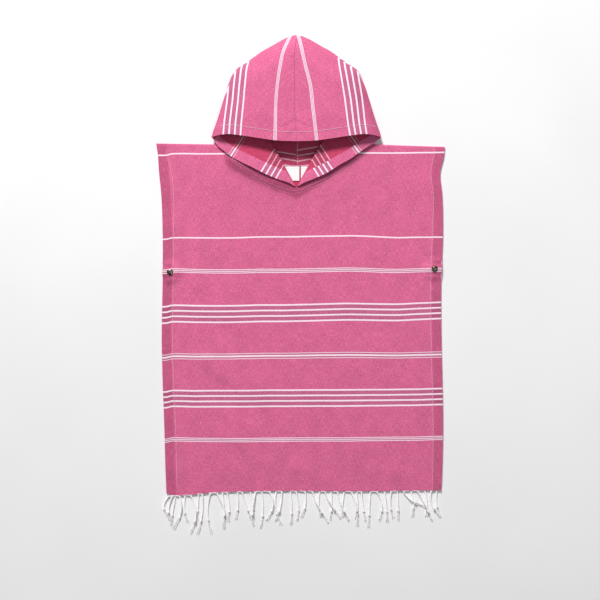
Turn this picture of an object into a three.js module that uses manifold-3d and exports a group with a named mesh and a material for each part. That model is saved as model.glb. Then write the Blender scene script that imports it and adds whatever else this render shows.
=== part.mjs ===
// A child's hooded bath poncho of flat-woven towel, laid flat on its back, in millimetres with +Z up.
//
// The tailor's frame is used all through: X across, with 0 at the middle of the neck, Y up from the
// shoulder fold towards the peak of the hood, and Z up from the ground that the poncho lies on. At
// the end the whole is moved, so that the origin is the middle of the bottom of its box.
import * as THREE from "three";
import { mergeVertices } from "three/addons/utils/BufferGeometryUtils.js";
import Module from "manifold-3d";

const wasm = await Module();
wasm.setup();

// Driving sizes
const CLOTH = 1.2; // thickness of the towel
const SEAM_GAP = 0.3; // left between two pieces that are sewn or lie together
const HALF = CLOTH / 2;
const GROUND_LAYER = HALF; // height of the middle of a layer that lies on the ground
const LAYER_PITCH = CLOTH + SEAM_GAP; // from one layer's middle to the next one's, pressed flat

// The body: one length folded at the shoulders. Its side edges wander a little as the cloth lies.
const SIDE_EDGES = [
  { down: 0, left: 229.5, right: 243.2 },
  { down: 13, left: 227.3, right: 242.4 },
  { down: 47, left: 224.7, right: 235.5 },
  { down: 80, left: 221.4, right: 238.5 },
  { down: 147, left: 218.9, right: 239.8 },
  { down: 214, left: 218.8, right: 237.2 },
  { down: 324, left: 220.4, right: 237.4 },
  { down: 391, left: 218.8, right: 239.0 },
  { down: 458, left: 216.3, right: 240.0 },
  { down: 542, left: 213.9, right: 238.2 },
  { down: 572, left: 212.6, right: 236.8 },
];
const SHOULDER_LINE = [
  { across: -230, up: 1.6 },
  { across: -140, up: 0 },
  { across: 125, up: 0 },
  { across: 195, up: -2.5 },
  { across: 244, up: -4.1 },
];
const HEM_LINE = [
  { across: -230, down: 572.0 },
  { across: -208, down: 575.4 },
  { across: -188, down: 574.6 },
  { across: -142, down: 570.7 },
  { across: -76, down: 568.3 },
  { across: 6, down: 567.6 },
  { across: 88, down: 568.3 },
  { across: 170, down: 567.4 },
  { across: 244, down: 566.4 },
];
const NECK = { halfWidth: 113, frontDepth: 70, backDepth: 35 };
const NECK_LIFT = 2.0; // the hood's layers lift the front of the body round the neck
const NECK_LIFT_REACH = 45;
const SIDE_BEND_FROM = 130; // inside this width the cloth hangs straight down from the fold
const RIPPLES = [
  { high: 0.55, acrossWave: 160, downWave: 330, turn: 0.4 },
  { high: 0.4, acrossWave: 92, downWave: -240, turn: 1.9 },
  { high: 0.3, acrossWave: 240, downWave: 96, turn: 3.1 },
];
const NECK_COLUMNS = 14;
const FRONT_ROWS_DOWN = [
  0, 7, 18, 36, 64, 100, 140, 172, 190, 201, 210, 220, 238, 285, 335, 385, 435, 485, 532, 570,
];
const BACK_ROWS_DOWN = [0, 36, 100, 165, 190, 207, 224, 250, 400, 570];
const SIDE_COLUMN_SHARES = [0.25, 0.5, 0.66, 0.76, 0.84, 0.92, 1];

// The press studs, one on each side
const SNAPS = [
  { side: "left", across: -206.6, up: -209.4 },
  { side: "right", across: 226.2, up: -204.2 },
];
const SNAP = {
  capRadius: 5.35,
  capDome: 2.1,
  rim: 0.9,
  postRadius: 1.6,
  clothHoleRadius: 1.95,
  discRadius: 4.1,
  socketHigh: 1.3,
  studDiscHigh: 0.8,
  ballRadius: 1.5,
  ballHigh: 0.9,
  pressedReach: 7, // flat cloth round the stud
  liftReach: 24, // where its lift has faded out
  facets: 14,
  domeSteps: 4,
};

// The hood, as it lies: each half is folded along three lines that meet at a point on the outline,
// so that it lies in four panels on each other: back, stand, turned-out lapel and crown.
const OUTLINE = [
  { up: 10.3, out: 139 },
  { up: 17, out: 137.6 },
  { up: 37, out: 129 },
  { up: 68, out: 120 },
  { up: 92, out: 113.8 },
  { up: 106, out: 108.6 },
  { up: 114, out: 104.4 },
  { up: 121.5, out: 99.5 },
  { up: 131.5, out: 86.5 },
  { up: 141, out: 72.5 },
  { up: 151, out: 56.5 },
  { up: 161, out: 38 },
  { up: 172, out: 19.8 },
  { up: 177.5, out: 8 },
  { up: 179, out: 0 },
];
const BRIM = [
  { out: 0, up: 2.3 },
  { out: 30, up: 3.2 },
  { out: 60, up: 7.2 },
  { out: 90, up: 11.7 },
  { out: 112, up: 14.1 },
  { out: 128, up: 12.6 },
  { out: 139, up: 10.3 },
];
const LIP = [
  { out: 2.6, left: -69.4, right: -69.4 },
  { out: 11, left: -64.6, right: -64.6 },
  { out: 30, left: -58.2, right: -56.8 },
  { out: 50, left: -50.0, right: -47.6 },
  { out: 70, left: -39.9, right: -35.0 },
  { out: 89, left: -30.6, right: -24.2 },
  { out: 108, left: -19.9, right: -10.6 },
  { out: 120, left: -10.4, right: -2.8 },
  { out: 129, left: -2.6, right: 3.0 },
  { out: 136.6, left: 8.9, right: 9.3 },
];
const HOOD_NECK = { halfWidth: 109, frontDepth: 69.7, backDepth: 34.7 };
const OUTLINE_INSET = 2.4; // the fold's own roundness stands outside the lines that the panels meet on
const PLEAT_POINT = { out: 103, up: 112 }; // where the three fold lines meet
const PEAK = { out: 0.15, up: 176.4 };
const V_TIP = { out: 2.6, up: -69.4 };
const STAND_HIGH = 4.1;
const PANEL_PITCH = 3.4; // the panels of the hood lie less tightly than the body's layers
const LAPEL_HIGH = STAND_HIGH + PANEL_PITCH;
const CROWN_EDGE_HIGH = LAPEL_HIGH + PANEL_PITCH;
const PEAK_EDGE_HIGH = 4.6;
const CROWN_PUFF = 10.5; // how far the crown rises above its folded edge
const CROWN_PUFF_REACH = 17;
const LAPEL_PUFF = 1.2;
const HOOD_ROWS = [0, 0.06, 0.14, 0.23, 0.33, 0.44, 0.55, 0.66, 0.77, 0.88, 1];
const LAPEL_CELLS = 7;
const STAND_CELLS = 8;
const BACK_CELLS = 11;
const CROWN_ROWS = 9;

// The fringe: tassels of twisted warp, each with a knot. The tables give where each leaves the hem,
// how far it bows and leans aside, and its length.
const TASSEL = {
  stripWide: 3,
  rootRadius: 0.5,
  radius: 1.2,
  rootReach: 0.13, // share of the length over which a strand grows to its full width
  knotShare: 0.66,
  knotRadius: 2.6,
  tuftRadius: 2.0,
  tipRadius: 0.7,
  sides: 4,
  rings: 9,
  aboveGround: 0.35,
};
const FRONT_TASSELS = [
  { root: -208.5, bow: -8, lean: -2, long: 34 },
  { root: -203.5, bow: -4, lean: -4, long: 42 },
  { root: -192, bow: 7, lean: -11, long: 56 },
  { root: -173.7, bow: 10, lean: -2, long: 66 },
  { root: -154.3, bow: 3, lean: -9, long: 69 },
  { root: -141.2, bow: -5, lean: 3, long: 69 },
  { root: -130.7, bow: 9, lean: 10, long: 56 },
  { root: -113.3, bow: 3, lean: 1, long: 50 },
  { root: -88.7, bow: 2, lean: 15, long: 48 },
  { root: -66.9, bow: -3, lean: -4, long: 58 },
  { root: -44.1, bow: 8, lean: -6, long: 50 },
  { root: -24.1, bow: 2, lean: -11, long: 51 },
  { root: -0.5, bow: 3, lean: 2, long: 50 },
  { root: 14, bow: 3, lean: -6, long: 44 },
  { root: 26.4, bow: 1, lean: 27, long: 53 },
  { root: 47.2, bow: 1, lean: 27, long: 46 },
  { root: 67.4, bow: 1, lean: 19, long: 50 },
  { root: 90, bow: 5, lean: 8, long: 48 },
  { root: 106.8, bow: 0, lean: 7, long: 51 },
  { root: 132, bow: 7, lean: 3, long: 50 },
  { root: 155.6, bow: -3, lean: 4, long: 46 },
  { root: 176, bow: -3, lean: 40, long: 28 },
  { root: 199, bow: 5, lean: 24, long: 52 },
  { root: 221.2, bow: -5, lean: 17, long: 46 },
];
const BACK_TASSELS = [
  { root: -198, bow: -2, lean: -7, long: 50 },
  { root: -182, bow: -3, lean: 4, long: 46 },
  { root: -160.5, bow: 0, lean: -3, long: 44 },
  { root: -121.5, bow: 2, lean: 3, long: 62 },
  { root: -96.5, bow: 2, lean: -3, long: 46 },
  { root: -76, bow: 4, lean: 4, long: 44 },
  { root: -57, bow: 3, lean: -2, long: 62 },
  { root: -33, bow: -4, lean: 9, long: 58 },
  { root: -10, bow: 2, lean: 1, long: 57 },
  { root: 38, bow: -2, lean: 2, long: 44 },
  { root: 57, bow: 1, lean: -1, long: 50 },
  { root: 78.5, bow: -2, lean: -2, long: 44 },
  { root: 99, bow: 1, lean: 1, long: 58 },
  { root: 121.5, bow: -1, lean: -3, long: 60 },
  { root: 145, bow: 1, lean: 4, long: 52 },
  { root: 165.5, bow: 1, lean: 1, long: 50 },
  { root: 188, bow: 3, lean: 2, long: 44 },
  { root: 211, bow: 2, lean: 2, long: 44 },
  { root: 230, bow: -2, lean: 5, long: 42 },
];

const NECK_LABEL = { left: -46, right: -1.2, top: -35.6, high: 24, thick: 0.8 };
const SIZE_LABEL = { left: 1.4, right: 19, top: -35.6, high: 22, thick: 0.8 };

// Read a table between its rows, by straight lines
function readTable(table, key, value, at) {
  const last = table.length - 1;
  const rising = table[last][key] > table[0][key];
  for (let i = 1; i <= last; i++) {
    const passed = rising ? at > table[i][key] : at < table[i][key];
    if (passed && i < last) continue;
    const a = table[i - 1];
    const b = table[i];
    const share = THREE.MathUtils.clamp((at - a[key]) / (b[key] - a[key]), 0, 1);
    return a[value] + (b[value] - a[value]) * share;
  }
}

const lerp = THREE.MathUtils.lerp;
const smooth = (value, from, to) => THREE.MathUtils.smoothstep(value, from, to);
const mix = (a, b, share) => a.clone().lerp(b, share);

// A wall of cloth from a grid of points on its middle surface. Each point is moved out and in by half
// the thickness along the surface's normal there, and the free edges are closed. Points that fall
// together are one point, so a fold line may run to nothing. keep(row, column) leaves cells out.
function clothWall(grid, { facing = 1, keep = () => true } = {}) {
  const ids = new Map();
  const points = [];
  const idOf = (p) => {
    const key = [p.x, p.y, p.z].map((v) => Math.round(v * 200)).join();
    if (!ids.has(key)) {
      ids.set(key, points.length);
      points.push(p);
    }
    return ids.get(key);
  };
  const named = grid.map((row) => row.map(idOf));
  const faces = [];
  for (let i = 0; i + 1 < grid.length; i++)
    for (let j = 0; j + 1 < grid[i].length; j++) {
      if (!keep(i, j)) continue;
      const [a, b, c, d] = [named[i][j], named[i + 1][j], named[i + 1][j + 1], named[i][j + 1]];
      const straight = points[a].distanceTo(points[c]) <= points[b].distanceTo(points[d]);
      for (const face of straight ? [[a, b, c], [a, c, d]] : [[a, b, d], [b, c, d]])
        if (new Set(face).size === 3) faces.push(facing > 0 ? face : face.reverse());
    }
  const normals = points.map(() => new THREE.Vector3());
  for (const [a, b, c] of faces) {
    const across = new THREE.Vector3().subVectors(points[b], points[a]);
    const along = new THREE.Vector3().subVectors(points[c], points[a]);
    const normal = across.cross(along);
    for (const id of [a, b, c]) normals[id].add(normal);
  }
  const count = points.length;
  const place = new Float32Array(count * 6);
  points.forEach((p, id) => {
    const push = normals[id].normalize().multiplyScalar(HALF);
    p.clone().add(push).toArray(place, id * 3);
    p.clone().sub(push).toArray(place, (count + id) * 3);
  });
  const edges = new Map();
  for (const face of faces)
    face.forEach((from, k) => {
      const to = face[(k + 1) % 3];
      if (!edges.delete(to + "," + from)) edges.set(from + "," + to, [from, to]);
    });
  const index = [];
  for (const [a, b, c] of faces) index.push(a, b, c, count + a, count + c, count + b);
  for (const [from, to] of edges.values())
    index.push(from, count + from, to, to, count + from, count + to);
  const geometry = new THREE.BufferGeometry();
  geometry.setAttribute("position", new THREE.BufferAttribute(place, 3));
  geometry.setIndex(index);
  return geometry;
}

// A closed geometry as a solid for joining and cutting, and back again
function toSolid(source) {
  const bare = source.clone();
  bare.deleteAttribute("normal");
  bare.deleteAttribute("uv");
  const merged = mergeVertices(bare, 1e-4);
  return new wasm.Manifold(
    new wasm.Mesh({
      numProp: 3,
      vertProperties: merged.attributes.position.array,
      triVerts: new Uint32Array(merged.index.array),
    }),
  );
}

function toGeometry(solid) {
  const mesh = solid.getMesh();
  const geometry = new THREE.BufferGeometry();
  geometry.setAttribute("position", new THREE.BufferAttribute(mesh.vertProperties, 3));
  geometry.setIndex(new THREE.BufferAttribute(mesh.triVerts, 1));
  return geometry;
}

// The body

// How far the layers of the body lie apart: pressed flat, or lifted near the neck
function bodyPitch(across, up) {
  const ring = Math.hypot(across / NECK.halfWidth, up / NECK.frontDepth);
  const away = Math.max(0, ring - 1) * 90;
  return LAYER_PITCH + NECK_LIFT * Math.exp(-((away / NECK_LIFT_REACH) ** 2));
}

// 1 at a press stud, fading to 0 round it
function nearSnap(across, up) {
  let most = 0;
  for (const snap of SNAPS) {
    const away = Math.hypot(across - snap.across, up - snap.up);
    most = Math.max(most, 1 - smooth(away, SNAP.pressedReach, SNAP.liftReach));
  }
  return most;
}

// Low soft waves of the top layer, none lower than the pressed cloth, fading out to the edges
function ripple(across, up) {
  let sum = 0;
  for (const wave of RIPPLES) {
    const turn = across / wave.acrossWave + up / wave.downWave;
    sum += (wave.high * (1 + Math.sin(2 * Math.PI * turn + wave.turn))) / 2;
  }
  const fromSide = Math.min(215 - Math.abs(across - 7), 560 + up, -up);
  return sum * smooth(fromSide, 0, 40);
}

const snapBackLift = SNAP.rim + SEAM_GAP;
const snapFilling = SNAP.socketHigh + SNAP.studDiscHigh + SEAM_GAP;
const snapFrontLift = snapBackLift + snapFilling + SEAM_GAP;

function neckEdge(neck, depth, across) {
  const share = across / neck.halfWidth;
  return Math.abs(share) >= 1 ? 0 : -depth * Math.sqrt(1 - share * share);
}

function bodyColumns() {
  const widest = SIDE_EDGES[0];
  const columns = [];
  for (const share of [...SIDE_COLUMN_SHARES].reverse())
    columns.push(lerp(-SIDE_BEND_FROM, -widest.left, share));
  columns.push(-SIDE_BEND_FROM);
  const neckFrom = columns.length;
  for (let k = 0; k <= NECK_COLUMNS; k++)
    columns.push(-NECK.halfWidth * Math.cos((Math.PI * k) / NECK_COLUMNS));
  const neckTo = columns.length - 1;
  columns.push(SIDE_BEND_FROM);
  for (const share of SIDE_COLUMN_SHARES) columns.push(lerp(SIDE_BEND_FROM, widest.right, share));
  return { columns, neckFrom, neckTo };
}

// A point of the body's outline frame: column across at the shoulder, row by its share downwards
function bodyPoint(column, rowShare, front) {
  const depth = front ? NECK.frontDepth : NECK.backDepth;
  const inNeck = Math.abs(column) < NECK.halfWidth - 1e-6;
  const pitchAtFold = bodyPitch(column, 0);
  const fold = readTable(SHOULDER_LINE, "across", "up", column) - pitchAtFold / 2 - HALF;
  const shift = inNeck ? neckEdge(NECK, depth, column) : fold;
  const hem = -readTable(HEM_LINE, "across", "down", column);
  const up = lerp(shift, hem, rowShare);
  const side = column < 0 ? "left" : "right";
  const edge = readTable(SIDE_EDGES, "down", side, -up) - SIDE_EDGES[0][side];
  const bend = Math.max(0, (Math.abs(column) - SIDE_BEND_FROM) / (SIDE_EDGES[0][side] - SIDE_BEND_FROM));
  const across = column + Math.sign(column) * edge * bend;
  const lift = nearSnap(across, up);
  if (!front) return new THREE.Vector3(across, up, GROUND_LAYER + snapBackLift * lift);
  const wave = ripple(across, up) * (1 - lift);
  const high = GROUND_LAYER + lerp(bodyPitch(across, up) + wave, LAYER_PITCH + snapFrontLift, lift);
  return new THREE.Vector3(across, up, high);
}

function bodyGeometry() {
  const { columns, neckFrom, neckTo } = bodyColumns();
  const frontShares = FRONT_ROWS_DOWN.map((down) => down / FRONT_ROWS_DOWN.at(-1));
  const backShares = BACK_ROWS_DOWN.map((down) => down / BACK_ROWS_DOWN.at(-1));
  const rows = [];
  for (const share of [...frontShares].reverse())
    rows.push(columns.map((column) => bodyPoint(column, share, true)));
  const foldRow = rows.length - 1;
  const back = backShares.map((share) => columns.map((column) => bodyPoint(column, share, false)));
  rows.push(
    columns.map((column, j) => {
      const middle = mix(rows[foldRow][j], back[0][j], 0.5);
      middle.y += (rows[foldRow][j].z - back[0][j].z) / 2;
      return middle;
    }),
  );
  rows.push(...back);
  const inNeck = (j) => j >= neckFrom && j < neckTo;
  const keep = (i, j) => !((i === foldRow || i === foldRow + 1) && inNeck(j));
  let solid = toSolid(clothWall(rows, { facing: -1, keep }));
  for (const snap of SNAPS) {
    const drill = new THREE.CylinderGeometry(SNAP.clothHoleRadius, SNAP.clothHoleRadius, 30, 12);
    drill.rotateX(Math.PI / 2);
    drill.translate(snap.across, snap.up, 0);
    solid = solid.subtract(toSolid(drill));
  }
  return toGeometry(solid);
}

// The hood

// Height of the outline's line at a distance out, and the other way round
const outlineUp = (out) => readTable(OUTLINE, "out", "up", out);
const outlineOut = (up) => readTable(OUTLINE, "up", "out", up);

// Points of the outline, moved in by the fold's own roundness, with the way out of the fold
function outlineStation(out) {
  const up = outlineUp(out);
  const step = 1.5;
  const before = { out: outlineOut(up - step), up: up - step };
  const further = Math.max(out - step, 0);
  const after = { out: further, up: outlineUp(further) };
  const way = new THREE.Vector2(after.up - before.up, before.out - after.out).normalize();
  if (out < 1) way.set(0, 1);
  if (out > OUTLINE[0].out - 1) way.set(1, 0);
  return { out: out - way.x * OUTLINE_INSET, up: up - way.y * OUTLINE_INSET, way };
}

const LAPEL_STATIONS = [139, 136.5, 131.5, 125.5, 120, 115.5, 110.5, 104.4];
const BACK_STATIONS = [104.4, 97, 87, 77, 66, 54, 42, 30, 19, 10, 4, 0];

// The crown rises from its folded edge and is flat further in
function crownHigh(out, up) {
  const edge = lerp(PEAK_EDGE_HIGH, CROWN_EDGE_HIGH, smooth(out, 0, PLEAT_POINT.out));
  const sideways = Math.max(0, outlineOut(Math.max(up, OUTLINE[0].up)) - OUTLINE_INSET - out);
  const upwards = Math.max(0, outlineUp(Math.min(out, OUTLINE[0].out)) - OUTLINE_INSET - up);
  const away = (sideways * upwards) / Math.max(1e-6, Math.hypot(sideways, upwards));
  const top = CROWN_EDGE_HIGH + CROWN_PUFF;
  return lerp(edge, top, 1 - Math.exp(-away / CROWN_PUFF_REACH));
}

// One half of the hood as a grid, for out counted away from the middle. Rows go from the neck edge
// up to the outline, over it, and down the crown to the brim. Columns go from the face edge over the
// lapel, the stand and the back to the centre back seam.
function hoodGrid(side) {
  const half = (out, up, high) => new THREE.Vector3(out, up, high);
  const pleat = half(PLEAT_POINT.out, PLEAT_POINT.up, 0);
  const tip = half(V_TIP.out, V_TIP.up, 0);
  const neckSide = half(HOOD_NECK.halfWidth, 0, 0);
  const backNeck = half(PEAK.out, -HOOD_NECK.backDepth, 0);
  const peak = half(PEAK.out, PEAK.up, 0);
  const stations = [...LAPEL_STATIONS, ...BACK_STATIONS.slice(1)].map(outlineStation);
  for (const station of stations) station.out = Math.max(station.out, PEAK.out);
  const lapelOutline = stations.slice(0, LAPEL_STATIONS.length);
  const backOutline = stations.slice(LAPEL_STATIONS.length - 1);
  const corner = half(lapelOutline[0].out, lapelOutline[0].up, 0);
  const pleatEnd = half(backOutline[0].out, backOutline[0].up, 0);
  const tuck = PANEL_PITCH * 0.42; // how far a fold's nose stands past its line

  const rows = HOOD_ROWS.map((share) => {
    const row = [];
    const lipOut = lerp(V_TIP.out, LIP.at(-1).out, share);
    const lip = half(lipOut, readTable(LIP, "out", side, lipOut), 0);
    const vFold = mix(tip, pleat, share);
    const sideFold = mix(neckSide, pleat, share);
    const seam = mix(backNeck, peak, share);
    for (let k = 0; k <= LAPEL_CELLS; k++) {
      const v = k / LAPEL_CELLS;
      const point = mix(lip, vFold, v);
      const flat = mix(corner, pleatEnd, v);
      const bulge = share ** 3;
      point.x += bulge * (lapelOutline[k].out - flat.x) + bulge * (1 - v) * (corner.x - LIP.at(-1).out);
      point.y += bulge * (lapelOutline[k].up - flat.y);
      point.z = LAPEL_HIGH + LAPEL_PUFF * Math.sin(Math.PI * Math.min(1, 0.25 + 0.75 * v)) * (1 - share);
      row.push(point);
    }
    const turnV = pleat.clone().sub(tip).normalize();
    row.push(half(vFold.x - turnV.y * tuck, vFold.y, STAND_HIGH + PANEL_PITCH / 2));
    for (let k = 0; k <= STAND_CELLS; k++) {
      const v = k / STAND_CELLS;
      const point = mix(vFold, sideFold, v);
      const angle = (Math.PI / 2) * v;
      const chord = mix(tip, neckSide, v);
      const arcOut = lerp(V_TIP.out, HOOD_NECK.halfWidth, Math.sin(angle));
      const arcUp = neckEdge(HOOD_NECK, HOOD_NECK.frontDepth, arcOut);
      point.x += (1 - share) * (arcOut - chord.x);
      point.y += (1 - share) * (arcUp - chord.y);
      point.z = STAND_HIGH;
      row.push(point);
    }
    row.push(half(sideFold.x + tuck, sideFold.y, GROUND_LAYER + (STAND_HIGH - GROUND_LAYER) / 2));
    for (let k = 0; k <= BACK_CELLS; k++) {
      const v = k / BACK_CELLS;
      const point = mix(sideFold, seam, v);
      const angle = (Math.PI / 2) * (1 - v);
      const chord = mix(neckSide, backNeck, v);
      const arcOut = Math.max(PEAK.out, HOOD_NECK.halfWidth * Math.sin(angle));
      const arcUp = neckEdge(HOOD_NECK, HOOD_NECK.backDepth, arcOut);
      const flat = mix(pleatEnd, peak, v);
      const bulge = share ** 2;
      point.x += (1 - share) * (arcOut - chord.x) + bulge * (backOutline[k].out - flat.x);
      point.y += (1 - share) * (arcUp - chord.y) + bulge * (backOutline[k].up - flat.y);
      point.z = GROUND_LAYER;
      row.push(point);
    }
    return row;
  });

  // The outline's fold, and the crown
  const below = rows.at(-1);
  const stationOf = (j) => {
    if (j <= LAPEL_CELLS) return stations[j];
    const inBack = j - (LAPEL_CELLS + 2) - (STAND_CELLS + 2);
    return inBack < 0 ? lapelOutline.at(-1) : backOutline[inBack];
  };
  const nose = below.map((under, j) => {
    const station = stationOf(j);
    const edge = crownHigh(station.out, station.up);
    const lower = stationOf(j) === lapelOutline.at(-1) ? LAPEL_HIGH : under.z;
    const reach = Math.min(OUTLINE_INSET - HALF, (edge - lower) / 2);
    const out = Math.max(station.out + station.way.x * reach, PEAK.out);
    return half(out, station.up + station.way.y * reach, (edge + lower) / 2);
  });
  const crown = [];
  for (let k = 0; k <= CROWN_ROWS; k++) {
    const share = 1 - (1 - k / CROWN_ROWS) ** 0.8;
    crown.push(
      below.map((under, j) => {
        const station = stationOf(j);
        const brim = readTable(BRIM, "out", "up", station.out);
        const low = j === 0 ? station.up : brim;
        const up = lerp(station.up, low, share);
        return half(station.out, up, crownHigh(station.out, up));
      }),
    );
  }
  return [...rows, nose, ...crown];
}

function hoodGeometry(side) {
  const mirrored = side === "left" ? -1 : 1;
  const grid = hoodGrid(side);
  for (const row of grid) for (const point of row) point.x *= mirrored;
  return clothWall(grid, { facing: -mirrored });
}

// The fringe

// The points of the hem's edge, where the strip and the roots of the tassels start
const hemPoints = bodyColumns().columns.map((column) => bodyPoint(column, 1, true));

// The line of one tassel as it lies on the ground, seen from above
function tasselPath(tassel) {
  const hem = readTable(hemPoints, "x", "y", tassel.root) - SEAM_GAP - TASSEL.stripWide / 2;
  const path = [];
  for (let k = 0; k <= TASSEL.rings; k++) {
    const share = k / TASSEL.rings;
    const across = tassel.root + tassel.bow * Math.sin(Math.PI * share) + tassel.lean * share ** 1.5;
    path.push({ share, across, up: hem - tassel.long * share, radius: tasselRadius(share) });
  }
  return path;
}

function tasselRadius(share) {
  const grown = lerp(TASSEL.rootRadius, TASSEL.radius, smooth(share, 0.02, TASSEL.rootReach));
  const knot = Math.exp(-(((share - TASSEL.knotShare) / 0.06) ** 2));
  const tuft = smooth(share, TASSEL.knotShare, TASSEL.knotShare + 0.15);
  const loose = lerp(TASSEL.tuftRadius, TASSEL.tipRadius, smooth(share, 0.85, 1));
  return lerp(lerp(grown, loose, tuft), TASSEL.knotRadius, knot);
}

// The front's tassels lie on the ground too, and rise where they pass over one of the back's
function tasselHigh(ring, rootHigh, others) {
  const lying = ring.radius + TASSEL.aboveGround;
  const lowest = ring.radius + TASSEL.aboveGround / 4;
  let high = Math.max(lowest, lerp(rootHigh, lying, smooth(ring.share, 0.08, 0.3)));
  for (const other of others) {
    const away = Math.hypot(ring.across - other.across, ring.up - other.up);
    const touch = ring.radius + other.radius + SEAM_GAP;
    const over = other.high + other.radius + SEAM_GAP + ring.radius;
    const near = 1 - smooth(away, touch + 2, touch + 8);
    high = Math.max(high, lerp(high, over, near));
  }
  return high;
}

// A tube of few sides through the rings of a path, closed at both ends
function strandGeometry(path) {
  const sides = TASSEL.sides;
  const place = [];
  const index = [];
  path.forEach((ring, i) => {
    const before = path[Math.max(0, i - 1)];
    const after = path[Math.min(path.length - 1, i + 1)];
    const along = new THREE.Vector2(after.across - before.across, after.up - before.up).normalize();
    for (let k = 0; k < sides; k++) {
      const turn = (2 * Math.PI * (k + 0.5)) / sides;
      const aside = ring.radius * Math.cos(turn) * 1.2;
      const rise = ring.radius * Math.sin(turn) * 1.2;
      place.push(ring.across - along.y * aside, ring.up + along.x * aside, ring.high + rise);
    }
  });
  for (let i = 0; i + 1 < path.length; i++)
    for (let k = 0; k < sides; k++) {
      const [a, b] = [i * sides + k, i * sides + ((k + 1) % sides)];
      index.push(a, b, a + sides, b, b + sides, a + sides);
    }
  const last = (path.length - 1) * sides;
  for (let k = 1; k + 1 < sides; k++) index.push(0, k + 1, k, last, last + k, last + k + 1);
  const geometry = new THREE.BufferGeometry();
  geometry.setAttribute("position", new THREE.BufferAttribute(new Float32Array(place), 3));
  geometry.setIndex(index);
  return geometry;
}

// The strip that the roots are fused into: a narrow band just outside the hem
function fringeStrip(rootHigh) {
  const outer = hemPoints.map((point) => new THREE.Vector3(point.x, point.y - SEAM_GAP, rootHigh));
  const inner = outer.map((point) => point.clone().setY(point.y - TASSEL.stripWide));
  return clothWall([outer, inner]);
}

function fringePaths(tassels, rootHigh, others) {
  return tassels.map((tassel) => {
    const path = tasselPath(tassel);
    for (const ring of path) ring.high = tasselHigh(ring, rootHigh, others);
    return path;
  });
}

function fringeGeometry(paths, rootHigh) {
  let solid = toSolid(fringeStrip(rootHigh));
  for (const path of paths) solid = solid.add(toSolid(strandGeometry(path)));
  return toGeometry(solid);
}

// Press studs: the cap half is riveted through the front, the stud half through the back

function snapCapGeometry(base) {
  const dome = [];
  for (let k = 0; k <= SNAP.domeSteps; k++) {
    const turn = (Math.PI / 2) * (k / SNAP.domeSteps);
    dome.push(new THREE.Vector2(SNAP.capRadius * Math.cos(turn), base + SNAP.capDome * Math.sin(turn)));
  }
  const under = base - SEAM_GAP * 2 - CLOTH; // top of the socket, under the cloth
  const mouth = SNAP.ballRadius + SEAM_GAP;
  const profile = [
    new THREE.Vector2(0, under - 0.3),
    new THREE.Vector2(mouth, under - 0.3),
    new THREE.Vector2(mouth, under - SNAP.socketHigh),
    new THREE.Vector2(SNAP.discRadius, under - SNAP.socketHigh),
    new THREE.Vector2(SNAP.discRadius, under),
    new THREE.Vector2(SNAP.postRadius, under),
    new THREE.Vector2(SNAP.postRadius, base),
    ...dome,
  ];
  profile.at(-1).x = 0;
  return new THREE.LatheGeometry(profile, SNAP.facets);
}

function snapStudGeometry() {
  const clothTop = SNAP.rim + SEAM_GAP + CLOTH;
  const disc = clothTop + SEAM_GAP;
  const ball = disc + SNAP.studDiscHigh;
  const profile = [
    [0, 0],
    [SNAP.capRadius, 0],
    [SNAP.capRadius, SNAP.rim],
    [SNAP.postRadius, SNAP.rim],
    [SNAP.postRadius, disc],
    [SNAP.discRadius, disc],
    [SNAP.discRadius, ball],
    [SNAP.ballRadius, ball],
    [SNAP.ballRadius, ball + SNAP.ballHigh],
    [0, ball + SNAP.ballHigh],
  ].map(([radius, high]) => new THREE.Vector2(radius, high));
  return new THREE.LatheGeometry(profile, SNAP.facets);
}

function uprightLathe(geometry, snap) {
  geometry.rotateX(Math.PI / 2);
  geometry.translate(snap.across, snap.up, 0);
  return geometry;
}

function labelGeometry(label) {
  const geometry = new THREE.BoxGeometry(label.right - label.left, label.high, label.thick);
  const middle = (label.left + label.right) / 2;
  const high = CLOTH + SEAM_GAP + label.thick / 2;
  return geometry.translate(middle, label.top - label.high / 2, high);
}

// Materials and the scene graph

const towel = () => new THREE.MeshStandardMaterial({ color: 0xc9487f, roughness: 0.9 });
const yarn = () => new THREE.MeshStandardMaterial({ color: 0xf2eff0, roughness: 0.85 });
const bronze = () => new THREE.MeshStandardMaterial({ color: 0x4a4034, roughness: 0.3, metalness: 1 });
const tape = () => new THREE.MeshStandardMaterial({ color: 0xf6f6f4, roughness: 0.6 });

const poncho = new THREE.Group();
function addPiece(name, geometry, material) {
  const mesh = new THREE.Mesh(geometry, material);
  mesh.name = name;
  poncho.add(mesh);
}

addPiece("body", bodyGeometry(), towel());
addPiece("hood_left", hoodGeometry("left"), towel());
addPiece("hood_right", hoodGeometry("right"), towel());

const frontRoot = GROUND_LAYER + LAYER_PITCH;
const backPaths = fringePaths(BACK_TASSELS, GROUND_LAYER, []);
const frontPaths = fringePaths(FRONT_TASSELS, frontRoot, backPaths.flat());
addPiece("fringe_back", fringeGeometry(backPaths, GROUND_LAYER), yarn());
addPiece("fringe_front", fringeGeometry(frontPaths, frontRoot), yarn());

const capBase = GROUND_LAYER + LAYER_PITCH + snapFrontLift + HALF + SEAM_GAP;
for (const snap of SNAPS) {
  addPiece(`snap_${snap.side}_cap`, uprightLathe(snapCapGeometry(capBase), snap), bronze());
  addPiece(`snap_${snap.side}_stud`, uprightLathe(snapStudGeometry(), snap), bronze());
}
addPiece("neck_label", labelGeometry(NECK_LABEL), tape());
addPiece("size_label", labelGeometry(SIZE_LABEL), tape());

// The origin goes to the middle of the bottom of the whole
const bounds = new THREE.Box3().setFromObject(poncho);
const middle = bounds.getCenter(new THREE.Vector3());
poncho.position.set(-middle.x, -middle.y, 0);

export default poncho;
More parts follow.
